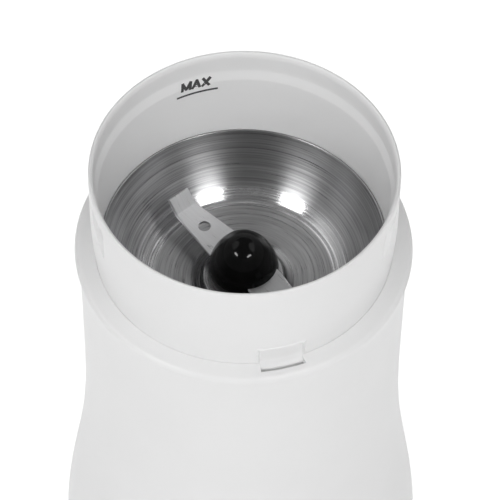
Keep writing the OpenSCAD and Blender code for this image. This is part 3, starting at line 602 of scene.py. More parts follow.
@dataclass(frozen=True)
class LinedMetal(Finish):
    """Turned, drawn or stacked metal: fine parallel lines under an uneven polish.

    Args:
        lay: which way the lines run.
        pitch: spacing of the finest lines.
        depth: depth of the lines.
        contrast: how much the lines differ in colour.
        stretch: how much the highlight spreads across the lines, from the piece's UV map.
        heading: direction of lines laid ALONG, from +X.
        bands: roughness and painted light by radius: (radius, share of the roughness, share of the
        colour) from the axis outwards, each held up to the next. A colour share under 1 paints
        shade, and one over 1 paints a highlight.
        soft: half the width over which one band changes into the next.
    """

    lay: Lay = Lay.AROUND
    pitch: float = 0.15
    depth: float = 0.004
    contrast: float = 0.12
    stretch: float = 0.0
    heading: float = 0.0
    bands: tuple[tuple[float, float, float], ...] = ()
    soft: float = 0.4

    def line_place(self, g: Graph, place: bpy.types.NodeSocket) -> bpy.types.NodeSocket:
        """Coordinates that change one unit per pitch across the lines and slowly along them.

        Lines AROUND use radius plus height, with the direction from the axis for the slow
        part; lines ALONG use the turned plan; STACKED ones use the height.

        Args:
            g: the material that is being written.
            place: object coordinates.

        Returns:
            Vector socket for the lines' noise.
        """
        per = 1000.0 / self.pitch
        if self.lay is Lay.ALONG:
            heading = (0, 0, -math.radians(self.heading))
            turned = g.node("ShaderNodeMapping", {"Vector": place, "Rotation": heading})
            return g.vector("MULTIPLY", turned.outputs[0], (per * 0.02, per, per * 0.02))
        x, y, z = g.node("ShaderNodeSeparateXYZ", {0: place}).outputs
        if self.lay is Lay.STACKED:
            slow = per * 0.01
            return g.joint(g.math("MULTIPLY", x, slow), g.math("MULTIPLY", y, slow),
                           g.math("MULTIPLY", z, per))
        flat = g.joint(x, y)
        radius = g.vector("LENGTH", flat)
        way = g.node("ShaderNodeSeparateXYZ", {0: g.vector("NORMALIZE", flat)}).outputs
        reach = g.math("ADD", radius, z)
        return g.joint(g.math("MULTIPLY", way[0], 3.0), g.math("MULTIPLY", way[1], 3.0),
                       g.math("MULTIPLY", reach, per))

    def banded(self, g: Graph, radius: bpy.types.NodeSocket, column: int) -> bpy.types.NodeSocket:
        """One column of the bands as a value over the radius.

        It is the first band's value plus, at each later band's radius, a soft step to that one's.

        Args:
            g: the material that is being written.
            radius: distance from the axis, in metres.
            column: 1 for the roughness and 2 for the colour, whose shares paint shade and highlights.

        Returns:
            The value's socket.
        """
        value: Socket = self.bands[0][column]
        for before, after in zip(self.bands, self.bands[1:]):
            at, step = after[0], after[column] - before[column]
            value = g.math("ADD", value, g.ranged(radius, 0.0, step, (at - self.soft) * MM,
                                                  (at + self.soft) * MM))
        return value

    def build(self) -> bpy.types.Material:
        """Lines in colour, roughness and bump, over a wide unevenness of the polish.

        Returns:
            The material.
        """
        g = Graph(self.title)
        place = g.place()
        lines_at = self.line_place(g, place)
        fine = g.noise(lines_at, 1.0, 1.0)
        broad = g.noise(lines_at, 0.22, 2.0)
        lines = g.math("MULTIPLY_ADD", broad, 0.6, g.math("MULTIPLY", fine, 0.4))
        uneven = g.noise(place, 150.0, 3.0)
        g.set("Metallic", 1.0)
        colour = g.tinted(self.colour, lines, self.contrast)
        rough = g.ranged(lines, self.roughness * 0.8, self.roughness * 1.2)
        rough = g.math("ADD", rough, g.ranged(uneven, -0.03, 0.03))
        if self.bands:
            radius = g.vector("LENGTH", g.vector("MULTIPLY", place, (1.0, 1.0, 0.0)))
            rough = g.math("MULTIPLY", rough, self.banded(g, radius, 1))
            # the colour shares paint light into the metal: painted shade where a share is under 1, a
            # painted highlight where it is over 1
            colour = g.vector("MULTIPLY", colour, self.banded(g, radius, 2))
        g.set("Base Color", colour)
        g.set("Roughness", rough)
        g.bumped(lines, self.depth)
        if self.stretch:
            g.set("Anisotropic", self.stretch)
            g.set("Anisotropic Rotation", 0.25)
            tangent = g.node("ShaderNodeTangent", direction_type="UV_MAP", uv_map=SURFACE_MAP)
            g.set("Tangent", tangent.outputs[0])
        return g.material


@dataclass(frozen=True)
class GrainyMetal(Finish):
    """Cast, sintered or plated metal: granular skin with stained hollows.

    Args:
        grain: size of the granules.
        depth: height of the granules.
        stain: how far the colour varies.
    """

    grain: float = 0.6
    depth: float = 0.02
    stain: float = 0.12

    def build(self) -> bpy.types.Material:
        """Granules from cell noise for the bump, stains from a wide noise.

        Returns:
            The material.
        """
        g = Graph(self.title)
        place = g.place()
        wide = g.noise(place, 180.0, 3.0)
        cells = g.node("ShaderNodeTexVoronoi", {"Vector": place, "Scale": 1000.0 / self.grain})
        g.set("Metallic", 1.0)
        g.set("Base Color", g.tinted(self.colour, wide, self.stain))
        g.set("Roughness", g.ranged(wide, self.roughness - 0.06, self.roughness + 0.06))
        g.bumped(cells.outputs["Distance"], self.depth)
        return g.material


@dataclass(frozen=True)
class PrintedInk(Finish):
    """Matte printed ink with slightly uneven cover."""

    def build(self) -> bpy.types.Material:
        """Uneven cover from a fine noise in colour and roughness.

        Returns:
            The material.
        """
        g = Graph(self.title)
        cover = g.noise(g.place(), 2600.0, 2.0)
        g.set("Base Color", g.tinted(self.colour, cover, 0.18))
        g.set("Roughness", g.ranged(cover, self.roughness - 0.08, self.roughness + 0.08))
        g.bumped(cover, 0.004)
        return g.material


FINISHES: dict[str, Finish] = {f.name: f for f in (
    MouldedPlastic("white_plastic", (0.9, 0.9, 0.9), 0.36, grain=0.35, depth=0.003, mottle=0.006,
                   unevenness=0.03),
    LinedMetal("bowl_steel", (0.38, 0.38, 0.385), 0.34, Lay.AROUND, pitch=0.12, depth=0.002,
               contrast=0.4, stretch=0.85,
               # colour shares: painted shade (0.25) in the moat round the boss, painted highlight (1.5) in
               # the corner between wall and floor
               bands=((0.0, 0.8, 1.0), (10.3, 0.9, 0.25), (11.6, 0.9, 1.0), (22.9, 0.72, 1.5),
                      (27.3, 1.0, 1.0))),
    LinedMetal("blade_steel", (0.76, 0.76, 0.77), 0.32, Lay.ALONG, pitch=0.08, depth=0.0004, contrast=0.05,
               heading=132.0),
    PolishedPlastic("black_gloss", (0.004, 0.004, 0.0042), 0.1, sheen=0.16),
    MouldedPlastic("black_plastic", (0.018, 0.018, 0.019), 0.34, grain=0.5, depth=0.01, mottle=0.15),
    MouldedPlastic("dark_rubber", (0.035, 0.035, 0.037), 0.72, grain=0.3, depth=0.02, mottle=0.2),
    GrainyMetal("screw_steel", (0.52, 0.52, 0.51), 0.34, grain=0.25, depth=0.004, stain=0.12),
    LinedMetal("shaft_steel", (0.58, 0.58, 0.6), 0.2, Lay.AROUND, pitch=0.1, depth=0.002, contrast=0.08),
    GrainyMetal("cast_alloy", (0.62, 0.62, 0.63), 0.5, grain=0.5, depth=0.03, stain=0.08),
    GrainyMetal("bronze", (0.55, 0.36, 0.2), 0.45, grain=0.2, depth=0.01, stain=0.2),
    LinedMetal("core_iron", (0.2, 0.2, 0.21), 0.45, Lay.STACKED, pitch=0.5, depth=0.05, contrast=0.35),
    LinedMetal("copper", (0.62, 0.3, 0.16), 0.3, Lay.STACKED, pitch=0.45, depth=0.12, contrast=0.25),
    LinedMetal("brass_holder", (0.72, 0.55, 0.25), 0.33, Lay.STACKED, pitch=0.3, depth=0.004, contrast=0.1),
    MouldedPlastic("carbon", (0.03, 0.03, 0.03), 0.6, grain=0.15, depth=0.012, mottle=0.3),
    LinedMetal("spring_steel", (0.5, 0.5, 0.52), 0.28, Lay.STACKED, pitch=0.1, depth=0.002, contrast=0.1),
    MouldedPlastic("fan_nylon", (0.75, 0.74, 0.68), 0.45, grain=0.6, depth=0.01, mottle=0.03),
    MouldedPlastic("base_plastic", (0.76, 0.76, 0.76), 0.5, grain=0.45, depth=0.03, mottle=0.015),
    MouldedPlastic("signal_red", (0.5, 0.03, 0.02), 0.35, grain=0.4, depth=0.006, mottle=0.05),
    MouldedPlastic("wire_blue", (0.04, 0.09, 0.3), 0.4, grain=0.3, depth=0.008, mottle=0.06),
)}
MARK_INK = PrintedInk("mark_ink", (0.06, 0.06, 0.06), 0.6)


# ---------------------------------------------------------------- shared plan

@dataclass(frozen=True)
class Plan:
    """Heights and radii that several pieces share, with the frame's own corners as datum."""

    top: float
    seam: float
    rim: float = 38.12
    waist: float = 41.3
    waist_drop: float = 35.1
    shoulder: float = 42.25
    corner_drop: float = 2.5
    rise_power: float = 9.0
    foot: float = 48.8
    foot_rise: float = 4.5
    fall_power: float = 1.5
    wall: float = 2.4
    pocket_at: float = 14.7
    pusher_at: float = 15.4
    pocket_half: float = 5.45
    screws_r: float = 33.8

    # angles of the three screws that hold the collar to the housing
    SCREWS_AT = (100, 220, 340)

    @classmethod
    def from_frame(cls) -> "Plan":
        """Takes the rim's height from the collar's box and the seam's from the housing's."""
        return cls(top=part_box("collar")[1].z / MM, seam=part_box("body_shell")[1].z / MM)

    @property
    def waist_z(self) -> float:
        """Height of the waist."""
        return self.seam - self.waist_drop

    @property
    def corner_z(self) -> float:
        """Height of the centre of the shoulder's rounding."""
        return self.seam - self.corner_drop

    def wall_radius(self, z: np.ndarray) -> np.ndarray:
        """Outer radius of the housing: a power law up from the waist, half a cosine down from it.

        Args:
            z: heights, any shape.

        Returns:
            Radii of the same shape.
        """
        rise = np.clip((z - self.waist_z) / (self.corner_z - self.waist_z), 0.0, None)
        up = self.waist + (self.shoulder - self.waist) * rise ** self.rise_power
        fall = np.clip((self.waist_z - z) / (self.waist_z - self.foot_rise), 0.0, 1.0)
        wave = (1 - np.cos(np.pi * fall ** self.fall_power)) / 2
        return np.where(z >= self.waist_z, up, self.waist + (self.foot - self.waist) * wave)

    def wall_at(self, z: float) -> float:
        """Outer radius of the housing at one height."""
        return float(self.wall_radius(np.array(z)))


# ---------------------------------------------------------------- housing

@dataclass
class Housing:
    """White waisted shell with its ledge, the slit of the interlock and the inner fixings."""

    plan: Plan
    ledge_r: float = 37.42
    corner_round: float = 1.5
    corner_lift: float = 0.8
    foot_round: float = 2.0
    foot_z: float = 2.5
    slit_in: float = 38.8
    slit_out: float = 39.95
    channel_r: float = 41.2
    recess_z: float = 127.2
    slit_z: float = 126.7
    tab_z: float = 116.8
    tab_in: float = 37.5
    tab_h: float = 1.5
    lug_z: float = 107.1
    lug_h: float = 3.0
    web_in: float = 36.6
    web_half: float = 3.2
    post_at: float = 39.5
    rib_half: float = 1.5
    grommet_r: float = 4.55
    recess_r: float = 6.6
    recess_at: float = 46.0
    inlet_z: float = 14.0

    # places in the list of rows after which the slit is open: its mouth and its underside
    MOUTH_ROW = 3
    UNDER_ROW = 11

    # the rib behind each post: radius, height
    RIB = np.array([[42.6, 5.6], [46.2, 5.6], [46.0, 21.4], [42.6, 21.4]])

    # how far from the middle of the pusher each tab starts and ends, and the radius of that measure
    TAB_SPAN = (2.8, 7.15)
    TAB_R = 39.0

    def profile(self, opened: np.ndarray) -> tuple[np.ndarray, np.ndarray, int, int]:
        """Outline of the wall for each column, from the foot up, over the ledge and down inside.

        Where a column is opened, the ledge drops to its recess and the slit goes through it
        into a channel in the wall; elsewhere the same points lie on the plain wall.

        Args:
            opened: 1 for columns that cross the slit and 0 for the others.

        Returns:
            Radii and heights (rows, columns), and the rows of the slit's mouth and its underside.
        """
        p = self.plan
        top = p.corner_z + self.corner_lift
        wall_z = np.linspace(self.foot_z + self.foot_round, top, 120)
        outer = np.vstack([
            [[p.foot - p.wall, self.foot_z]],
            arc((p.foot - self.foot_round, self.foot_z + self.foot_round), self.foot_round, -90, 0),
            np.stack([p.wall_radius(wall_z), wall_z], axis=1)[1:-1],
            arc((p.wall_at(top) - self.corner_round, top), self.corner_round, 0, 75, 12)])
        near, far, low, under = self.slit_in, self.slit_out, self.recess_z, self.slit_z
        ends = [self.ledge_r, outer[-1, 0]], [p.seam, outer[-1, 1]]

        def ledge(r: float, drop: float = 0.0) -> tuple[float, float]:
            """Point on the ledge at a radius, or that far under it."""
            return r, float(np.interp(r, *ends)) - drop

        # a softened edge: how far it reaches, and its last chord's reach and drop
        edge, chord, dip = 0.12, 0.04, 0.03
        # each row: point on a plain column, then on one that crosses the slit
        rows = [
            (ledge(far + edge), ledge(far + edge)),
            (ledge(far + chord), ledge(far + chord, dip)),
            (ledge(far), ledge(far, edge)),
            (ledge(far), (far, under)),
            (ledge(near), (near, under)),
            (ledge(near), (near, low - edge)),
            (ledge(near - chord), (near - chord, low - dip)),
            (ledge(near - edge), (near - edge, low)),
            (ledge(self.ledge_r + edge), (self.ledge_r + edge, low)),
            ((self.ledge_r, p.seam - edge), (self.ledge_r, low - edge)),
            ((self.ledge_r, under), (self.ledge_r, under)),
            ((near, under), (near, under)),
            ((far, under), (far, under)),
            ((far + 0.1, under), (self.channel_r, under))]
        heights = np.concatenate([np.linspace(under - 0.5, self.tab_z, 10), [self.tab_z - 0.001],
                                  np.linspace(self.tab_z - 2, self.foot_z + 2, 56)])
        for at in heights:
            inside = p.wall_at(at) - p.wall
            rows.append(((inside, at), (self.channel_r if at >= self.tab_z else inside, at)))
        plain, cut = (np.vstack([outer, [row[k] for row in rows], outer[:1]]) for k in (0, 1))
        r = plain[:, :1] + (cut - plain)[:, :1] * opened
        z = plain[:, 1:] + (cut - plain)[:, 1:] * opened
        return r, z, len(outer) + self.MOUTH_ROW, len(outer) + self.UNDER_ROW

    def wall(self) -> Skin:
        """The shell: the outline carried round, with columns crowded at the sides of the slit.

        Returns:
            The closed skin.
        """
        p = self.plan
        half = half_angle(p.pocket_half, self.slit_in)
        edge = 0.03
        sides = p.pocket_at + np.array([-half - edge, -half + edge, half - edge, half + edge])
        even = np.arange(-180.0, 180.0, 1.5)
        even = even[np.abs(np.abs(even - p.pocket_at) - half) > 0.5]
        angle = np.sort(np.concatenate([even, sides]))
        angle = np.append(angle, angle[0] + 360.0)
        opened = (np.abs(angle - p.pocket_at) < half).astype(float)
        r, z, mouth, under = self.profile(opened)
        keep = np.ones((r.shape[0] - 1, r.shape[1] - 1), dtype=bool)
        between = (opened[:-1] > 0) & (opened[1:] > 0)
        keep[mouth, between] = False
        keep[under, between] = False
        return Skin.from_grid(carried_round(r, z, angle[None, :]), keep).outward()

    def fixings(self) -> Skin:
        """Lugs for the collar's screws, posts for the base screws, pusher tabs and the inlet boss.

        Returns:
            All of them in one skin.
        """
        p = self.plan
        half = half_angle(self.web_half, 38.0)
        web = box_profile(self.web_in, p.wall_at(self.lug_z) - p.wall / 2, self.lug_z + 0.2,
                          self.lug_z + self.lug_h - 0.2)
        lug = tube(3.6, 1.65, self.lug_z, self.lug_z + self.lug_h).moved(0, -p.screws_r, 0)
        post = tube(3.4, 1.55, 5.55, 23.5).moved(0, -self.post_at, 0)
        parts = []
        for turn in p.SCREWS_AT:
            parts += [lug.turned(turn), sector_block(web, turn - half, turn + half)]
        for turn in (45, 135, 225, 315):
            parts += [post.turned(turn),
                      sector_block(self.RIB, turn - self.rib_half, turn + self.rib_half)]
        tab = box_profile(self.tab_in, p.wall_at(self.tab_z) - p.wall / 2, self.tab_z - self.tab_h,
                          self.tab_z)
        inner, outer = (half_angle(reach, self.TAB_R) for reach in self.TAB_SPAN)
        for start, end in ((-outer, -inner), (inner, outer)):
            parts.append(sector_block(tab, p.pusher_at + start, p.pusher_at + end))
        boss = tube(8.5, self.grommet_r, 0.0, 4.4).laid_back()
        parts.append(boss.moved(0, 41.5, self.inlet_z))
        return joined(parts)

    def inlet_cutter(self) -> bpy.types.Object:
        """Stepped plug that cuts the cord inlet and the recess of its flange through the wall.

        Returns:
            The cutter's object.
        """
        start, end = 41.0, 52.0
        profile = np.array([[0, start], [self.grommet_r, start], [self.grommet_r, self.recess_at],
                            [self.recess_r, self.recess_at], [self.recess_r, end], [0, end]])
        plug = turned_solid(profile, 48).laid_back()
        return make_object("inlet_cutter", plug.moved(0, 0, self.inlet_z))

    def build(self) -> None:
        """Makes the housing and puts it in place of its CAD node."""
        shell = make_object("housing_shell", self.wall())
        carved(shell, self.inlet_cutter())
        inner = make_object("housing_fixings", self.fixings())
        shell.data.set_sharp_from_angle(angle=math.radians(40))
        placed(shell, "housing", "white_plastic", ["body_shell"])
        placed(inner, "housing", "white_plastic")


# ---------------------------------------------------------------- collar

@dataclass
class Collar:
    """White ring round the chamber: lip, inner step, lid guides and the tongue's guide pad."""

    plan: Plan
    edge_round: float = 0.5
    lip: float = 1.3
    lip_round: float = 2.0
    foot_r: float = 37.4
    foot_bend: float = 7.14
    band_h: float = 17.0
    step_top: float = 6.2
    step_low: float = 9.0
    bore: float = 36.0
    seat_z: float = 118.9
    skirt_z: float = 116.1
    guide_at: float = 70.0
    guide_depth: float = 1.3
    pad_top: float = 134.9
    pad_edge: float = 0.12
    pad_rim: float = 0.34
    bead_off: float = 0.36
    bead_half: float = 0.3

    # corners of a guide: along the wall from its middle, and height over its foot
    GUIDE = np.array([[-4.4, 0.0], [0.98, 5.0], [4.4, 10.0], [-4.4, 10.0]])

    # the pad's face from its foot in the notch of the housing upwards: height, radius
    PAD_FACE = np.array([[127.3, 38.7], [127.7, 38.6], [128.2, 38.3], [129.0, 37.75], [130.0, 37.32],
                         [131.0, 37.2], [134.5, 37.3]])

    def inner_radius(self, z: np.ndarray) -> np.ndarray:
        """Radius of the inside wall below the lip: two bores joined by a straight step."""
        t = self.plan.top
        return np.interp(z, [t - self.step_low, t - self.step_top], [self.bore, self.plan.rim - self.lip])

    def outline(self) -> tuple[np.ndarray, int]:
        """Closed outline from the seam up the outside, over the rim and down the inside.

        Returns:
            The points, and how many of them from the start belong to the outside wall.
        """
        p = self.plan
        band = p.rim - self.lip
        foot = bend((self.foot_r, p.seam), (p.rim, p.seam + self.foot_bend),
                    (p.rim, p.top - self.band_h), 16)
        guide_rows = np.arange(p.top - 14.6, p.top - 3.4, 0.3)
        pad_rows = np.concatenate([np.linspace(p.seam + 0.3, self.pad_top - 0.4, 12),
                                   np.linspace(self.pad_top - 0.3, self.pad_top + 1.1, 20)])
        band_rows = p.top - self.band_h + np.arange(3.0)
        height = np.concatenate([foot[:, 1], pad_rows, guide_rows, band_rows])
        height = np.unique(np.round(height, 4))
        height = height[height < p.top - self.edge_round - 0.05]
        outside = np.stack([np.interp(height, foot[:, 1], foot[:, 0]), height], axis=1)
        hidden = [self.skirt_z + 0.3, 120.0, 124.0, 127.0, *self.PAD_FACE[:3, 0], p.seam - 0.6]
        under = np.array([[37.2, z] for z in hidden] + [[37.4, p.seam - 0.4]])
        angle = np.radians(np.linspace(15, 90, 8))
        lip = np.stack([p.rim - self.edge_round - (self.lip - self.edge_round) * np.sin(angle),
                        p.top - self.lip_round * (1 - np.cos(angle))], axis=1)
        upper, lower = p.top - self.step_top, p.top - self.step_low
        walls = np.array([[band, upper + 0.15], [band - 0.04, upper - 0.12],
                          [self.bore + 0.04, lower + 0.12], [self.bore, lower - 0.15],
                          [self.bore, self.seat_z + 0.2], [self.bore - 0.2, self.seat_z],
                          [31.0, self.seat_z], [30.75, self.seat_z - 0.2], [29.55, self.skirt_z + 0.2],
                          [29.75, self.skirt_z], [36.9, self.skirt_z]])
        top = arc((p.rim - self.edge_round, p.top - self.edge_round), self.edge_round, 0, 90, 6)
        outer = np.vstack([under, outside])
        rest = filled(np.vstack([top, lip, walls]), 1.6)
        return np.vstack([outer, rest, outer[:1]]), len(outer)

    def columns(self) -> np.ndarray:
        """Angles of the columns: even ones, crowded ones over the guides and at the pad's sides.

        Returns:
            Angles (n,), whose last is the first plus a full turn.
        """
        p = self.plan
        even = np.arange(-180.0, 180.0, 1.25)
        per = math.degrees(1 / p.rim)
        sides = [p.pocket_at + s * half_angle(p.pocket_half + k * 0.07, p.rim)
                 for s in (-1, 1) for k in range(-4, 16)]
        guides = [s * self.guide_at + t * per for s in (-1, 1) for t in np.arange(-5.4, 5.41, 0.3)]
        apart = np.abs(even[:, None] - np.array(sides + guides)[None, :]).min(axis=1) > 0.4
        angle = np.sort(np.concatenate([even[apart], sides, guides]))
        return np.append(angle, angle[0] + 360.0)

    def wall(self) -> Skin:
        """The ring: its outline carried round, the outside moved in at the guides and at the pad.

        Each guide is a triangle that narrows downwards. The pad is a rectangle whose face
        follows its own line, framed by a bead: height times exp(-(distance / width)^2) round
        its border. Each move is multiplied by an eased ramp across the outline's edge.

        Returns:
            The closed skin.
        """
        p = self.plan
        line, outer = self.outline()
        angle = self.columns()
        r = np.repeat(line[:, :1], len(angle), axis=1)
        z = np.repeat(line[:, 1:], len(angle), axis=1)
        skin_r, skin_z = r[:outer], z[:outer]
        low = p.top - 14.0
        for side in (-1, 1):
            across = side * np.radians(angle - side * self.guide_at) * p.rim
            deep = inside_depth(np.broadcast_to(across, skin_z.shape), skin_z - low, self.GUIDE)
            skin_r -= self.guide_depth * eased(deep / 0.35 + 0.5)
        tx = p.rim * np.sin(np.radians(angle - p.pocket_at))
        near = np.cos(np.radians(angle - p.pocket_at)) > 0
        over = eased((p.pocket_half - np.abs(tx)) / (2 * self.pad_edge) + 0.5) * near
        up = eased((self.pad_top - skin_z) / (2 * self.pad_edge) + 0.5)
        up = up * (skin_z >= self.PAD_FACE[0, 0] - 0.01)
        away = np.maximum(np.abs(tx) - p.pocket_half, skin_z - self.pad_top) - self.bead_off
        bead = self.pad_rim * np.exp(-(away / self.bead_half) ** 2) * near
        bead = bead * eased((skin_z - p.seam) / 0.8)
        skin_r += (np.interp(skin_z, *self.PAD_FACE.T) - skin_r) * over * up + bead
        return Skin.from_grid(carried_round(r, z, angle[None, :])).outward()

    def posts(self) -> Skin:
        """Three posts for the motor and three bosses for the housing under the ring.

        Returns:
            All of them in one skin.
        """
        top = self.skirt_z + 0.4
        post = tube(3.4, 1.55, 104.0, top).moved(0, -32, 0)
        boss = tube(3.2, 1.55, 110.1, top).moved(0, -self.plan.screws_r, 0)
        return joined([post.turned(a) for a in (175, 295, 415)]
                      + [boss.turned(a) for a in self.plan.SCREWS_AT])

    def build(self) -> None:
        """Makes the collar and puts it in place of its CAD node."""
        placed(make_object("collar_ring", self.wall(), 50.0), "housing", "white_plastic", ["collar"])
        placed(make_object("collar_posts", self.posts()), "housing", "white_plastic")


@dataclass
class FillMark:
    """The fill mark printed inside the collar: three plain capitals over a line."""

    collar: Collar
    letter_h: float = 2.9
    stroke: float = 0.76
    slant: float = 0.14
    start: float = -16.6
    gap: float = 0.12
    squeeze: float = 0.93
    base_z: float = 148.0
    line_z: float = 146.4
    line_span: tuple[float, float] = (17.9, 7.3)
    line_w: float = 0.62
    proud: float = 0.03
    sunk: float = 0.02

    # each letter's width, and its strokes in shares of that width and of the height
    LETTERS = {
        "M": (2.9, [(0, 0, 0, 1), (0, 1, 0.5, 0.12), (0.5, 0.12, 1, 1), (1, 1, 1, 0)]),
        "A": (2.7, [(0, 0, 0.5, 1), (0.5, 1, 1, 0), (0.2, 0.32, 0.8, 0.32)]),
        "X": (2.5, [(0, 0, 1, 1), (0, 1, 1, 0)]),
    }

    def stroke_skin(self, start: tuple[float, float], end: tuple[float, float], width: float) -> Skin:
        """Thin plate along a stroke, bent onto the wall: a box grid mapped to angle and height.

        Args:
            start: distance from the back and height of one end.
            end: the same for the other end.
            width: width of the stroke.

        Returns:
            The closed plate, proud of the wall by a hair.
        """
        a, b = np.array(start), np.array(end)
        along = (b - a) / np.linalg.norm(b - a)
        a, b = a - along * width * 0.3, b + along * width * 0.3
        side = np.array([-along[1], along[0]]) * width / 2
        steps = 12
        t = np.linspace(0, 1, steps)[None, :, None]
        loop = np.array([[-1, 0], [1, 0], [1, 1], [-1, 1], [-1, 0]], dtype=float)
        flat = a + (b - a) * t + side * loop[:, None, :1]
        lift = np.repeat(loop[:, None, 1], steps, axis=1)
        first, last = (np.repeat(flat[:, k].mean(axis=0)[None, None], len(loop), axis=0) for k in (0, -1))
        middle = np.full((len(loop), 1), 0.5)
        flat = np.concatenate([first, flat, last], axis=1)
        lift = np.concatenate([middle, lift, middle], axis=1)
        radius = self.collar.inner_radius(flat[..., 1]) + self.sunk - (self.proud + self.sunk) * lift
        angle = 180.0 + np.degrees(flat[..., 0] / self.collar.bore)
        return Skin.from_grid(carried_round(radius, flat[..., 1], angle)).outward()

    def build(self) -> None:
        """Lays the letters out from the left and sets them over their line."""
        left, plates = self.start, []
        for letter in "MAX":
            width, strokes = self.LETTERS[letter]
            for x0, y0, x1, y1 in strokes:
                ends = [(-(left + (width - self.stroke) * x + self.slant * self.letter_h * y),
                         self.base_z + self.stroke / 2 + (self.letter_h - self.stroke) * y)
                        for x, y in ((x0, y0), (x1, y1))]
                plates.append(self.stroke_skin(*ends, self.stroke))
            left += width * self.squeeze + self.gap
        line = [(end, self.line_z) for end in self.line_span]
        plates.append(self.stroke_skin(*line, self.line_w))
        mark = make_object("fill_mark", joined(plates))
        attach(mark, "housing")
        MARK_INK.dress(mark)
        log.info("fill_mark: %d faces", len(mark.data.polygons))


# ---------------------------------------------------------------- bowl

@dataclass
class Bowl:
    """Spun steel bowl: rolled rim, steep wall, tight corner, beaded floor and raised boss."""

    sheet: float = 0.6
    mouth: float = 35.35
    floor_r: float = 22.55
    rim_z: float = 129.2
    floor_z: float = 114.0
    boss_r: float = 10.2
    moat: float = 0.8
    dish: float = 0.07
    boss_h: float = 1.0
    hole_r: float = 6.0
    bead_r: float = 23.4
    bead_h: float = 0.14

    def inside(self) -> np.ndarray:
        """Inside line from the rim to the hole: two bends, the dished floor, the moat and the boss.

        The bead and the groove beside it are each a height times exp(-(distance / width)^2).

        Returns:
            Points (n, 2) of radius and height.
        """
        f, low, top = self.floor_z, self.floor_z - self.moat, self.floor_z + self.boss_h
        wall = bend((self.mouth, self.rim_z), (self.mouth - 2.8, f + 8), (self.mouth - 8.1, f + 2.8), 30)
        corner = bend(wall[-1], (self.mouth - 10.9, f), (self.floor_r, f), 24)[1:]
        boss = np.array([[3.4, f], [2.8, f - 0.1], [1.7, low + 0.15], [1.2, low], [0.85, low + 0.1],
                         [0.65, low + 0.4], [0.15, f + 0.75], [0, f + 0.92], [-0.3, top],
                         [self.hole_r - self.boss_r, top]]) + [self.boss_r, 0]
        line = filled(np.vstack([wall, corner, boss]), 0.35)
        r = line[:, 0]
        fall = self.floor_r - np.clip(r, self.boss_r + 3, self.floor_r)
        line[:, 1] -= self.dish * fall * (r > self.boss_r + 0.7)
        bump = self.bead_h * np.exp(-((r - self.bead_r) / 0.42) ** 2)
        groove = 0.6 * self.bead_h * np.exp(-((r - self.bead_r - 1.1) / 0.4) ** 2)
        return line + np.stack([np.zeros(len(line)), bump - groove], axis=1)

    def build(self) -> None:
        """The inside line, the same line one sheet further out, and a half-round rim between."""
        inner = self.inside()
        outer = beside(inner, -self.sheet)[::-1]
        rim = arc((self.mouth + self.sheet / 2, self.rim_z), self.sheet / 2, 0, 180, 8)[1:-1]
        profile = np.vstack([inner, outer, rim, inner[:1]])
        placed(make_object("steel_bowl", turned_solid(profile, 256)), "housing", "bowl_steel", ["bowl"])


# ---------------------------------------------------------------- blade and cap

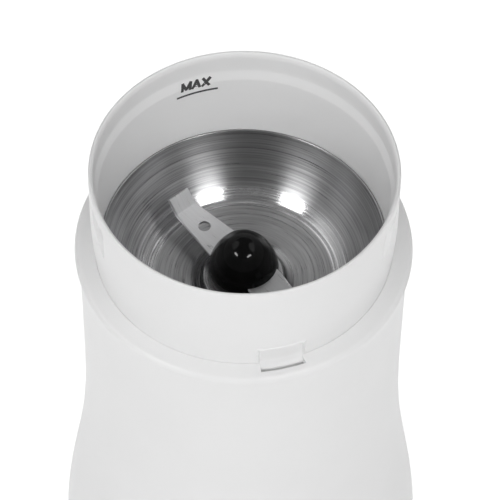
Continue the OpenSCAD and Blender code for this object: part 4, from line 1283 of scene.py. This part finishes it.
@dataclass
class Blade:
    """Flat steel strip with two drilled wings, ground edges and turned-up tips."""

    under_z: float = 119.5
    thick: float = 0.8
    root_half: float = 4.9
    tip_half: float = 3.15
    root_at: float = 8.0
    fold_at: float = 22.6
    fold_round: float = 0.3
    tip_l: float = 4.9
    tip_angle: float = 50.0
    hole_at: float = 15.1
    hole_r: float = 1.6
    hole_rim: float = 2.6
    tenon_r: float = 2.55
    flat: float = 0.93
    ground: float = 0.5
    edge: float = 0.13
    rest_angle: float = 132.0

    def half_width(self, u: np.ndarray) -> np.ndarray:
        """Half the strip's width at a distance from the axis."""
        return np.interp(np.abs(u), [self.root_at, self.fold_at], [self.root_half, self.tip_half])

    def plate(self, u: np.ndarray, v: np.ndarray) -> np.ndarray:
        """Plan points of a flat patch: v from -1 to 1 across the strip at distance u."""
        return np.stack([u, v * self.half_width(u)], axis=-1)

    def strip(self, start: float, end: float, cells: int, low: float, high: float,
              across: int) -> tuple[np.ndarray, np.ndarray]:
        """A patch of the strip, evenly divided.

        Args:
            start: where it starts along the strip.
            end: where it ends.
            cells: faces along it.
            low: where it starts across the strip, in half widths.
            high: where it ends across.
            across: faces across it.

        Returns:
            Points (n, 2) and faces.
        """
        run, side = np.linspace(start, end, cells + 1), np.linspace(low, high, across + 1)
        u, v = np.meshgrid(run, side, indexing="ij")
        faces = cell_faces(np.arange(u.size).reshape(u.shape)).reshape(-1, 4)
        return self.plate(u, v).reshape(-1, 2), faces[:, [0, 3, 2, 1]]

    def holed(self, start: float, end: float, at: float, radius: float) -> tuple[np.ndarray, np.ndarray]:
        """A patch with a round hole, as rings from the hole out to the patch's border.

        Args:
            start: where it starts along the strip.
            end: where it ends.
            at: the hole's middle along the strip.
            radius: radius of the hole.

        Returns:
            Points (n, 2) and faces.
        """
        cells = 16
        sides = np.linspace(-self.flat, self.flat, cells + 1)[:-1]
        run = np.linspace(start, end, cells + 1)[:-1]
        edge = np.full(cells, self.flat)
        u = np.concatenate([run, np.full(cells, end), run[::-1] + (end - start) / cells,
                            np.full(cells, start)])
        v = np.concatenate([-edge, sides, edge, -sides])
        border = self.plate(u, v)
        way = border - np.array([at, 0.0])
        way /= np.linalg.norm(way, axis=1, keepdims=True)
        hole = np.array([at, 0.0]) + radius * way
        t = np.array([0.0, 0.04, 0.1, 0.25, 0.5, 0.75, 1.0])[:, None, None]
        rings = hole + (border - hole) * t
        rings = np.concatenate([rings, rings[:, :1]], axis=1)
        index = np.arange(rings.shape[0] * rings.shape[1]).reshape(rings.shape[:2])
        return rings.reshape(-1, 2), cell_faces(index).reshape(-1, 4)[:, ::-1]

    def folded(self, plan: np.ndarray, share: np.ndarray) -> np.ndarray:
        """Points of the plan lifted to a share of the thickness and turned up past the fold.

        The underside runs flat to the fold, round an arc, then straight along the tip. A
        point keeps its length along that line, and its height is measured square to it.

        Args:
            plan: flat points (n, 2).
            share: height of each point in shares of the thickness.

        Returns:
            Points (n, 3) over the underside's height.
        """
        turn = math.radians(self.tip_angle)
        radius = self.fold_round + self.thick
        reach = radius * math.tan(turn / 2)
        s = np.abs(plan[:, 0]) - (self.fold_at - reach)
        bent = np.clip(s / radius, 0.0, turn)
        past = np.clip(s - radius * turn, 0.0, None)
        x = np.minimum(np.abs(plan[:, 0]), self.fold_at - reach)
        x = x + radius * np.sin(bent) + past * np.cos(bent)
        z = radius * (1 - np.cos(bent)) + past * np.sin(bent)
        h = share * self.thick
        x, z = x - h * np.sin(bent), z + h * np.cos(bent)
        return np.stack([np.sign(plan[:, 0]) * x, plan[:, 1], z], axis=1)

    def skin(self) -> Skin:
        """Both faces of the strip and the walls between them.

        Each face is a flat middle with the holes and a slim band along either border. The
        band at the leading edge of each wing is ground: the upper face falls over its width
        by a share of the thickness. The walls join the two faces' borders.

        Returns:
            The closed skin, turned to its rest angle.
        """
        end = self.fold_at + self.tip_l
        reach = self.hole_r + self.hole_rim
        near, far, root = self.hole_at - reach, self.hole_at + reach, self.root_half
        spans = [(far, end, 40), (near, far, 16), (root, near, 12)]
        bands = ((-1, -self.flat), (self.flat, 1))
        parts = [self.strip(*spans[0], -self.flat, self.flat, 16),
                 self.strip(*spans[2], -self.flat, self.flat, 16),
                 self.holed(near, far, self.hole_at, self.hole_r)]
        parts += [self.strip(*span, *band, 2) for span in spans for band in bands]
        mirrored = [(-points, faces) for points, faces in parts]
        parts = parts + mirrored + [self.holed(-root, root, 0.0, self.tenon_r)]
        parts += [self.strip(-root, root, 16, *band, 2) for band in bands]
        plan = np.vstack([p for p, _ in parts])
        start = np.cumsum([0] + [len(p) for p, _ in parts[:-1]])
        faces = np.vstack([f + s for (_, f), s in zip(parts, start)])
        key = np.round(plan / 1e-4).astype(np.int64)
        _, first, inverse = np.unique(key, axis=0, return_index=True, return_inverse=True)
        plan, faces = plan[first], inverse.ravel()[faces]
        lead = plan[:, 1] * np.sign(plan[:, 0]) / self.half_width(plan[:, 0])
        away = np.clip((np.abs(plan[:, 0]) - self.root_at - 3) / 2, 0, 1)
        ground = np.clip((lead - self.flat) / (1 - self.flat), 0, 1) * away * self.ground
        top = self.folded(plan, 1 - ground)
        low = self.folded(plan, np.zeros(len(plan)))
        edges = np.stack([faces, np.roll(faces, -1, axis=1)], axis=-1).reshape(-1, 2)
        code = edges[:, 0] * len(plan) + edges[:, 1]
        back = edges[:, 1] * len(plan) + edges[:, 0]
        border = edges[~np.isin(back, code)]
        n = len(plan)
        walls = np.stack([border[:, 1], border[:, 0], border[:, 0] + n, border[:, 1] + n], axis=1)
        uv = np.stack([plan[:, 0] / (2 * end) + 0.5, plan[:, 1] / (2 * self.root_half) + 0.5], axis=1)
        skin = Skin(np.vstack([top, low]), np.vstack([faces, faces[:, ::-1] + n, walls]),
                    np.vstack([uv, uv]))
        return skin.moved(0, 0, self.under_z).turned(self.rest_angle).outward()

    def build(self) -> None:
        """Makes the blade with its edges just broken, in place of its CAD node."""
        piece = make_object("cutting_blade", self.skin(), 30.0)
        broken_edges(piece, self.edge, 50)
        placed(piece, "rotor", "blade_steel", ["blade"])


@dataclass
class DomeCap:
    """Polished black cap: a pointed dome whose skirt straddles the blade, with a blind bore."""

    radius: float = 8.95
    height: float = 11.1
    foot_z: float = 118.55
    power: float = 4 / 3
    bore: float = 2.55
    bore_top: float = 125.7

    def build(self) -> None:
        """The outline runs from the pole down the dome, round its foot and up the bore.

        The dome's radius is R cos a at the height H (sin a)^power over its foot.
        """
        a = np.radians(np.linspace(90, 2, 56))
        rise = self.height * np.sin(a) ** self.power
        dome = np.stack([self.radius * np.cos(a), self.foot_z + rise], axis=1)
        dome[0, 0] = 0.0
        rest = np.array([[self.radius - 0.06, self.foot_z + 0.03], [self.radius - 0.2, self.foot_z],
                         [self.bore, self.foot_z], [self.bore, self.bore_top], [0.0, self.bore_top]])
        skin = turned_solid(np.vstack([dome, rest]), 128)
        placed(make_object("dome_knob", skin), "rotor", "black_gloss", ["dome_cap"])


# ---------------------------------------------------------------- return springs

@dataclass
class PusherSprings:
    """The two coil springs under the pusher, made at one length, though the real ones shorten as it goes
    down.
    """

    plan: Plan
    apart: float = 4.3
    out: float = 39.6
    radius: float = 0.95
    wire: float = 0.18
    turns: int = 4
    travel: float = 2.5

    def coil(self, low: float, high: float) -> Skin:
        """One spring on the axis: a ring of wire carried along a helix, its ends closed to a point.

        The helix is (R cos t, R sin t, rise t), and the ring lies in the plane of the outward
        direction and of the one square to it and to the helix.

        Args:
            low: height of the spring's foot.
            high: height of its top.

        Returns:
            Surface of the spring.
        """
        t = np.linspace(0, 2 * np.pi * self.turns, 36 * self.turns + 1)
        rise = (high - low - 2 * self.wire) / t[-1]
        out = np.stack([np.cos(t), np.sin(t), 0 * t], axis=1)
        along = np.stack([-self.radius * np.sin(t), self.radius * np.cos(t), 0 * t + rise], axis=1)
        across = np.cross(along, out)
        across /= np.linalg.norm(across, axis=1, keepdims=True)
        middle = self.radius * out + np.stack([0 * t, 0 * t, low + self.wire + rise * t], axis=1)
        turn = np.linspace(0, 2 * np.pi, 13)[None, :, None]
        ring = self.wire * (np.cos(turn) * out[:, None] + np.sin(turn) * across[:, None])
        body = middle[:, None] + ring
        ends = [np.repeat(middle[k][None, None], turn.size, axis=1) for k in (0, -1)]
        return Skin.from_grid(np.concatenate([ends[0], body, ends[1]])).outward()

    def build(self) -> None:
        """Both springs in one piece, as tall as the CAD node's box."""
        low, high = (corner[2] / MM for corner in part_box("pusher_springs"))
        coil = self.coil(low, high)
        pair = coil.moved(-self.apart, -self.out, 0) + coil.moved(self.apart, -self.out, 0)
        springs = make_object("return_springs", pair.turned(self.plan.pusher_at))
        placed(springs, "housing", "spring_steel", ["pusher_springs"])
        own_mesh(springs)


# ---------------------------------------------------------------- pieces that keep their CAD shape

@dataclass
class Mechanism:
    """Every CAD node that keeps its shape: merged, shaded and finished, with its edges broken unless it is
    fine.
    """

    edge: float = 0.12
    turn: float = 35.0

    SHOWN_AS_MADE = ("body_shell", "collar", "bowl", "blade", "dome_cap", "pusher_springs")
    FINE = ("brush_springs", "lead_wires", "switch_screws", "commutator", "switch_body",
            "switch_bracket", "switch_lever", "carbon_brushes")

    def shading(self) -> bpy.types.NodeTree:
        """Node group that forgets stored normals and shades smooth below an angle.

        Returns:
            The node group.
        """
        group = bpy.data.node_groups.new("smooth_by_angle", "GeometryNodeTree")
        group.interface.new_socket("Geometry", in_out="INPUT", socket_type="NodeSocketGeometry")
        group.interface.new_socket("Geometry", in_out="OUTPUT", socket_type="NodeSocketGeometry")
        nodes, link = group.nodes, group.links.new
        start, end = nodes.new("NodeGroupInput"), nodes.new("NodeGroupOutput")
        plain = nodes.new("GeometryNodeRemoveAttribute")
        plain.inputs["Name"].default_value = "custom_normal"
        angle = nodes.new("GeometryNodeInputMeshEdgeAngle")
        flat = nodes.new("FunctionNodeCompare")
        flat.data_type, flat.operation = "FLOAT", "LESS_EQUAL"
        flat.inputs[1].default_value = math.radians(self.turn)
        faces, edges = (nodes.new("GeometryNodeSetShadeSmooth") for _ in range(2))
        faces.domain, edges.domain = "FACE", "EDGE"
        link(start.outputs[0], plain.inputs[0])
        link(plain.outputs[0], faces.inputs[0])
        link(faces.outputs[0], edges.inputs[0])
        link(angle.outputs["Unsigned Angle"], flat.inputs[0])
        link(flat.outputs[0], edges.inputs["Shade Smooth"])
        link(edges.outputs[0], end.inputs[0])
        return group

    def build(self) -> None:
        """Adds Weld, the shading and its finish to each node, and planar Decimate and Bevel to all but the
        fine ones.
        """
        shading = self.shading()
        slots = {part["node"]: part["material_slot"] for part in frame["record"]["subparts"]}
        for name, piece in frame["nodes"].items():
            if name in self.SHOWN_AS_MADE:
                continue
            FINISHES[slots[name]].dress(piece)
            weld = piece.modifiers.new("merge", "WELD")
            weld.merge_threshold = 2e-6
            if name not in self.FINE:
                flat = piece.modifiers.new("flat_faces", "DECIMATE")
                flat.decimate_type, flat.angle_limit = "DISSOLVE", math.radians(0.5)
                broken_edges(piece, self.edge, 40)
            shade = piece.modifiers.new("smooth", "NODES")
            shade.node_group = shading
            log.info("%s keeps its shape in %s", name, slots[name])


# ---------------------------------------------------------------- studio

@dataclass
class CameraRig:
    """Long lens aimed at the collar's rim from the front and above."""

    plan: Plan
    distance: float = 729.6
    elevation: float = 51.5
    roll: float = 0.72
    lens: float = 216.0
    sensor: float = 36.0
    picture: float = 500.0
    rim_pixel: tuple[float, float] = (244.7, 169.0)

    def build(self) -> None:
        """Looks at the rim's centre, turned so that the centre falls on its own pixel."""
        rim = Vector((0, 0, self.plan.top)) * MM
        rise = math.radians(self.elevation)
        back = Vector((0, -math.cos(rise), math.sin(rise)))
        focal = self.picture * self.lens / self.sensor
        half = self.picture / 2
        across, down = self.rim_pixel
        seen = Vector(((across - half) / focal, (half - down) / focal, -1)).normalized()
        right = Vector((0, 0, 1)).cross(back).normalized()
        look = Matrix((right, back.cross(right), back)).transposed()
        aim = seen.rotation_difference(Vector((0, 0, -1))).to_matrix()
        turn = look @ Matrix.Rotation(math.radians(self.roll), 3, "Z") @ aim
        data = bpy.data.cameras.new("camera")
        data.lens, data.sensor_width, data.clip_end = self.lens, self.sensor, 20.0
        camera = bpy.data.objects.new("camera", data)
        camera.matrix_world = Matrix.Translation(rim + back * self.distance * MM) @ turn.to_4x4()
        bpy.context.scene.collection.objects.link(camera)
        bpy.context.scene.camera = camera
        log.info("camera at %s", tuple(round(c, 5) for c in camera.location))


class Reach(enum.Enum):
    """What a lamp gives: soft light alone or highlights alone."""

    SOFT = "soft"
    GLOSS = "gloss"


@dataclass(frozen=True)
class Lamp:
    """One oval lamp, placed by where it is seen from the object.

    Args:
        name: name of the lamp.
        azimuth: angle from the front towards +X.
        elevation: angle above the table.
        distance: distance from the object, in metres.
        size: width and height, in metres.
        power: watts.
        reach: whether it lights the object or only shows in its reflections.
    """

    name: str
    azimuth: float
    elevation: float
    distance: float
    size: tuple[float, float]
    power: float
    reach: Reach

    def build(self, aim: Vector) -> None:
        """Makes the lamp and turns it to the object.

        Args:
            aim: point that the lamp is turned to, in metres.
        """
        data = bpy.data.lights.new(self.name, "AREA")
        data.shape, data.size, data.size_y = "ELLIPSE", *self.size
        data.energy = self.power
        a, e = math.radians(self.azimuth), math.radians(self.elevation)
        way = Vector((math.sin(a) * math.cos(e), -math.cos(a) * math.cos(e), math.sin(e)))
        lamp = bpy.data.objects.new(self.name, data)
        turn = way.to_track_quat("Z", "Y").to_matrix().to_4x4()
        lamp.matrix_world = Matrix.Translation(aim + way * self.distance) @ turn
        lamp.visible_glossy = self.reach is Reach.GLOSS
        lamp.visible_diffuse = self.reach is Reach.SOFT
        bpy.context.scene.collection.objects.link(lamp)


@dataclass
class Studio:
    """Pale floor, soft lamps and a world that is a little lighter overhead than low down."""

    plan: Plan
    floor_half: float = 3.0
    glow: float = 0.68
    horizon: float = 0.26
    zenith: float = 0.3

    LAMPS = (
        Lamp("front_box", 0, 34, 1.8, (1.35, 0.8), 9.7, Reach.SOFT),
        Lamp("front_left_box", -40, 35, 1.6, (0.9, 0.9), 2.9, Reach.SOFT),
        Lamp("front_right_box", 40, 35, 1.6, (0.9, 0.9), 4.5, Reach.SOFT),
        Lamp("left_box", -80, 25, 1.6, (1.1, 0.9), 3.5, Reach.SOFT),
        Lamp("right_box", 80, 25, 1.6, (1.1, 0.9), 0.9, Reach.SOFT),
        Lamp("left_back_box", -120, 30, 1.6, (0.9, 0.9), 2.0, Reach.SOFT),
        Lamp("right_back_box", 120, 30, 1.6, (0.9, 0.9), 2.0, Reach.SOFT),
        Lamp("left_side_lamp", -110, 45, 1.2, (0.9, 0.9), 1.9, Reach.GLOSS),
        Lamp("right_side_lamp", 97, 45, 1.2, (0.9, 0.9), 2.3, Reach.GLOSS),
        Lamp("left_lamp", -52, 44, 1.2, (0.42, 0.14), 3.8, Reach.GLOSS),
        Lamp("right_lamp", 36, 44, 1.2, (0.42, 0.14), 3.8, Reach.GLOSS),
    )

    def floor(self) -> None:
        """Level sheet that takes shadow and, to the camera and in reflections, glows."""
        side = np.linspace(-self.floor_half, self.floor_half, 13) / MM
        x, y = np.meshgrid(side, side)
        floor = make_object("floor", Skin.from_grid(np.stack([x, y, np.zeros_like(x)], axis=-1)))
        g = Graph("floor_paper")
        place = g.place()
        g.set("Base Color", g.tinted((0.8, 0.8, 0.8), g.noise(place, 3.0), 0.01))
        g.set("Roughness", 0.9)
        g.set("Specular IOR Level", 0.0)
        path = g.node("ShaderNodeLightPath").outputs
        seen = g.math("MAXIMUM", g.math("MAXIMUM", path["Is Camera Ray"], path["Is Glossy Ray"]),
                      path["Is Transmission Ray"])
        strength = g.math("MULTIPLY", seen, self.glow)
        glow = g.node("ShaderNodeEmission", {"Color": (1, 1, 1, 1), "Strength": strength})
        both = g.node("ShaderNodeAddShader", {0: g.shader.outputs[0], 1: glow.outputs[0]})
        g.tree.links.new(both.outputs[0], g.output.inputs["Surface"])
        floor.data.materials.append(g.material)

    def world(self) -> None:
        """Background whose strength goes evenly from the horizon's to the zenith's."""
        world = bpy.data.worlds.new("studio")
        world.use_nodes = True
        tree = world.node_tree
        tree.nodes.clear()
        place, split, rise, light, out = (tree.nodes.new(f"ShaderNode{kind}") for kind in (
            "TexCoord", "SeparateXYZ", "MapRange", "Background", "OutputWorld"))
        rise.inputs["To Min"].default_value = self.horizon
        rise.inputs["To Max"].default_value = self.zenith
        tree.links.new(place.outputs["Generated"], split.inputs[0])
        tree.links.new(split.outputs["Z"], rise.inputs["Value"])
        tree.links.new(rise.outputs[0], light.inputs["Strength"])
        tree.links.new(light.outputs[0], out.inputs["Surface"])
        bpy.context.scene.world = world

    def build(self) -> None:
        """Sets the floor, the world and the lamps."""
        bpy.context.scene.view_settings.view_transform = "Standard"
        self.floor()
        self.world()
        aim = Vector((0, 0, self.plan.seam * MM))
        for lamp in self.LAMPS:
            lamp.build(aim)


# ---------------------------------------------------------------- the whole


def main() -> None:
    """Builds the camera, the pieces and the studio, in that order."""
    logging.basicConfig(level=logging.INFO, format="%(name)s %(message)s")
    plan = Plan.from_frame()
    collar = Collar(plan)
    CameraRig(plan).build()
    Housing(plan).build()
    collar.build()
    FillMark(collar).build()
    Bowl().build()
    Blade().build()
    DomeCap().build()
    PusherSprings(plan).build()
    Mechanism().build()
    Studio(plan).build()


if __name__ == "__main__":
    main()
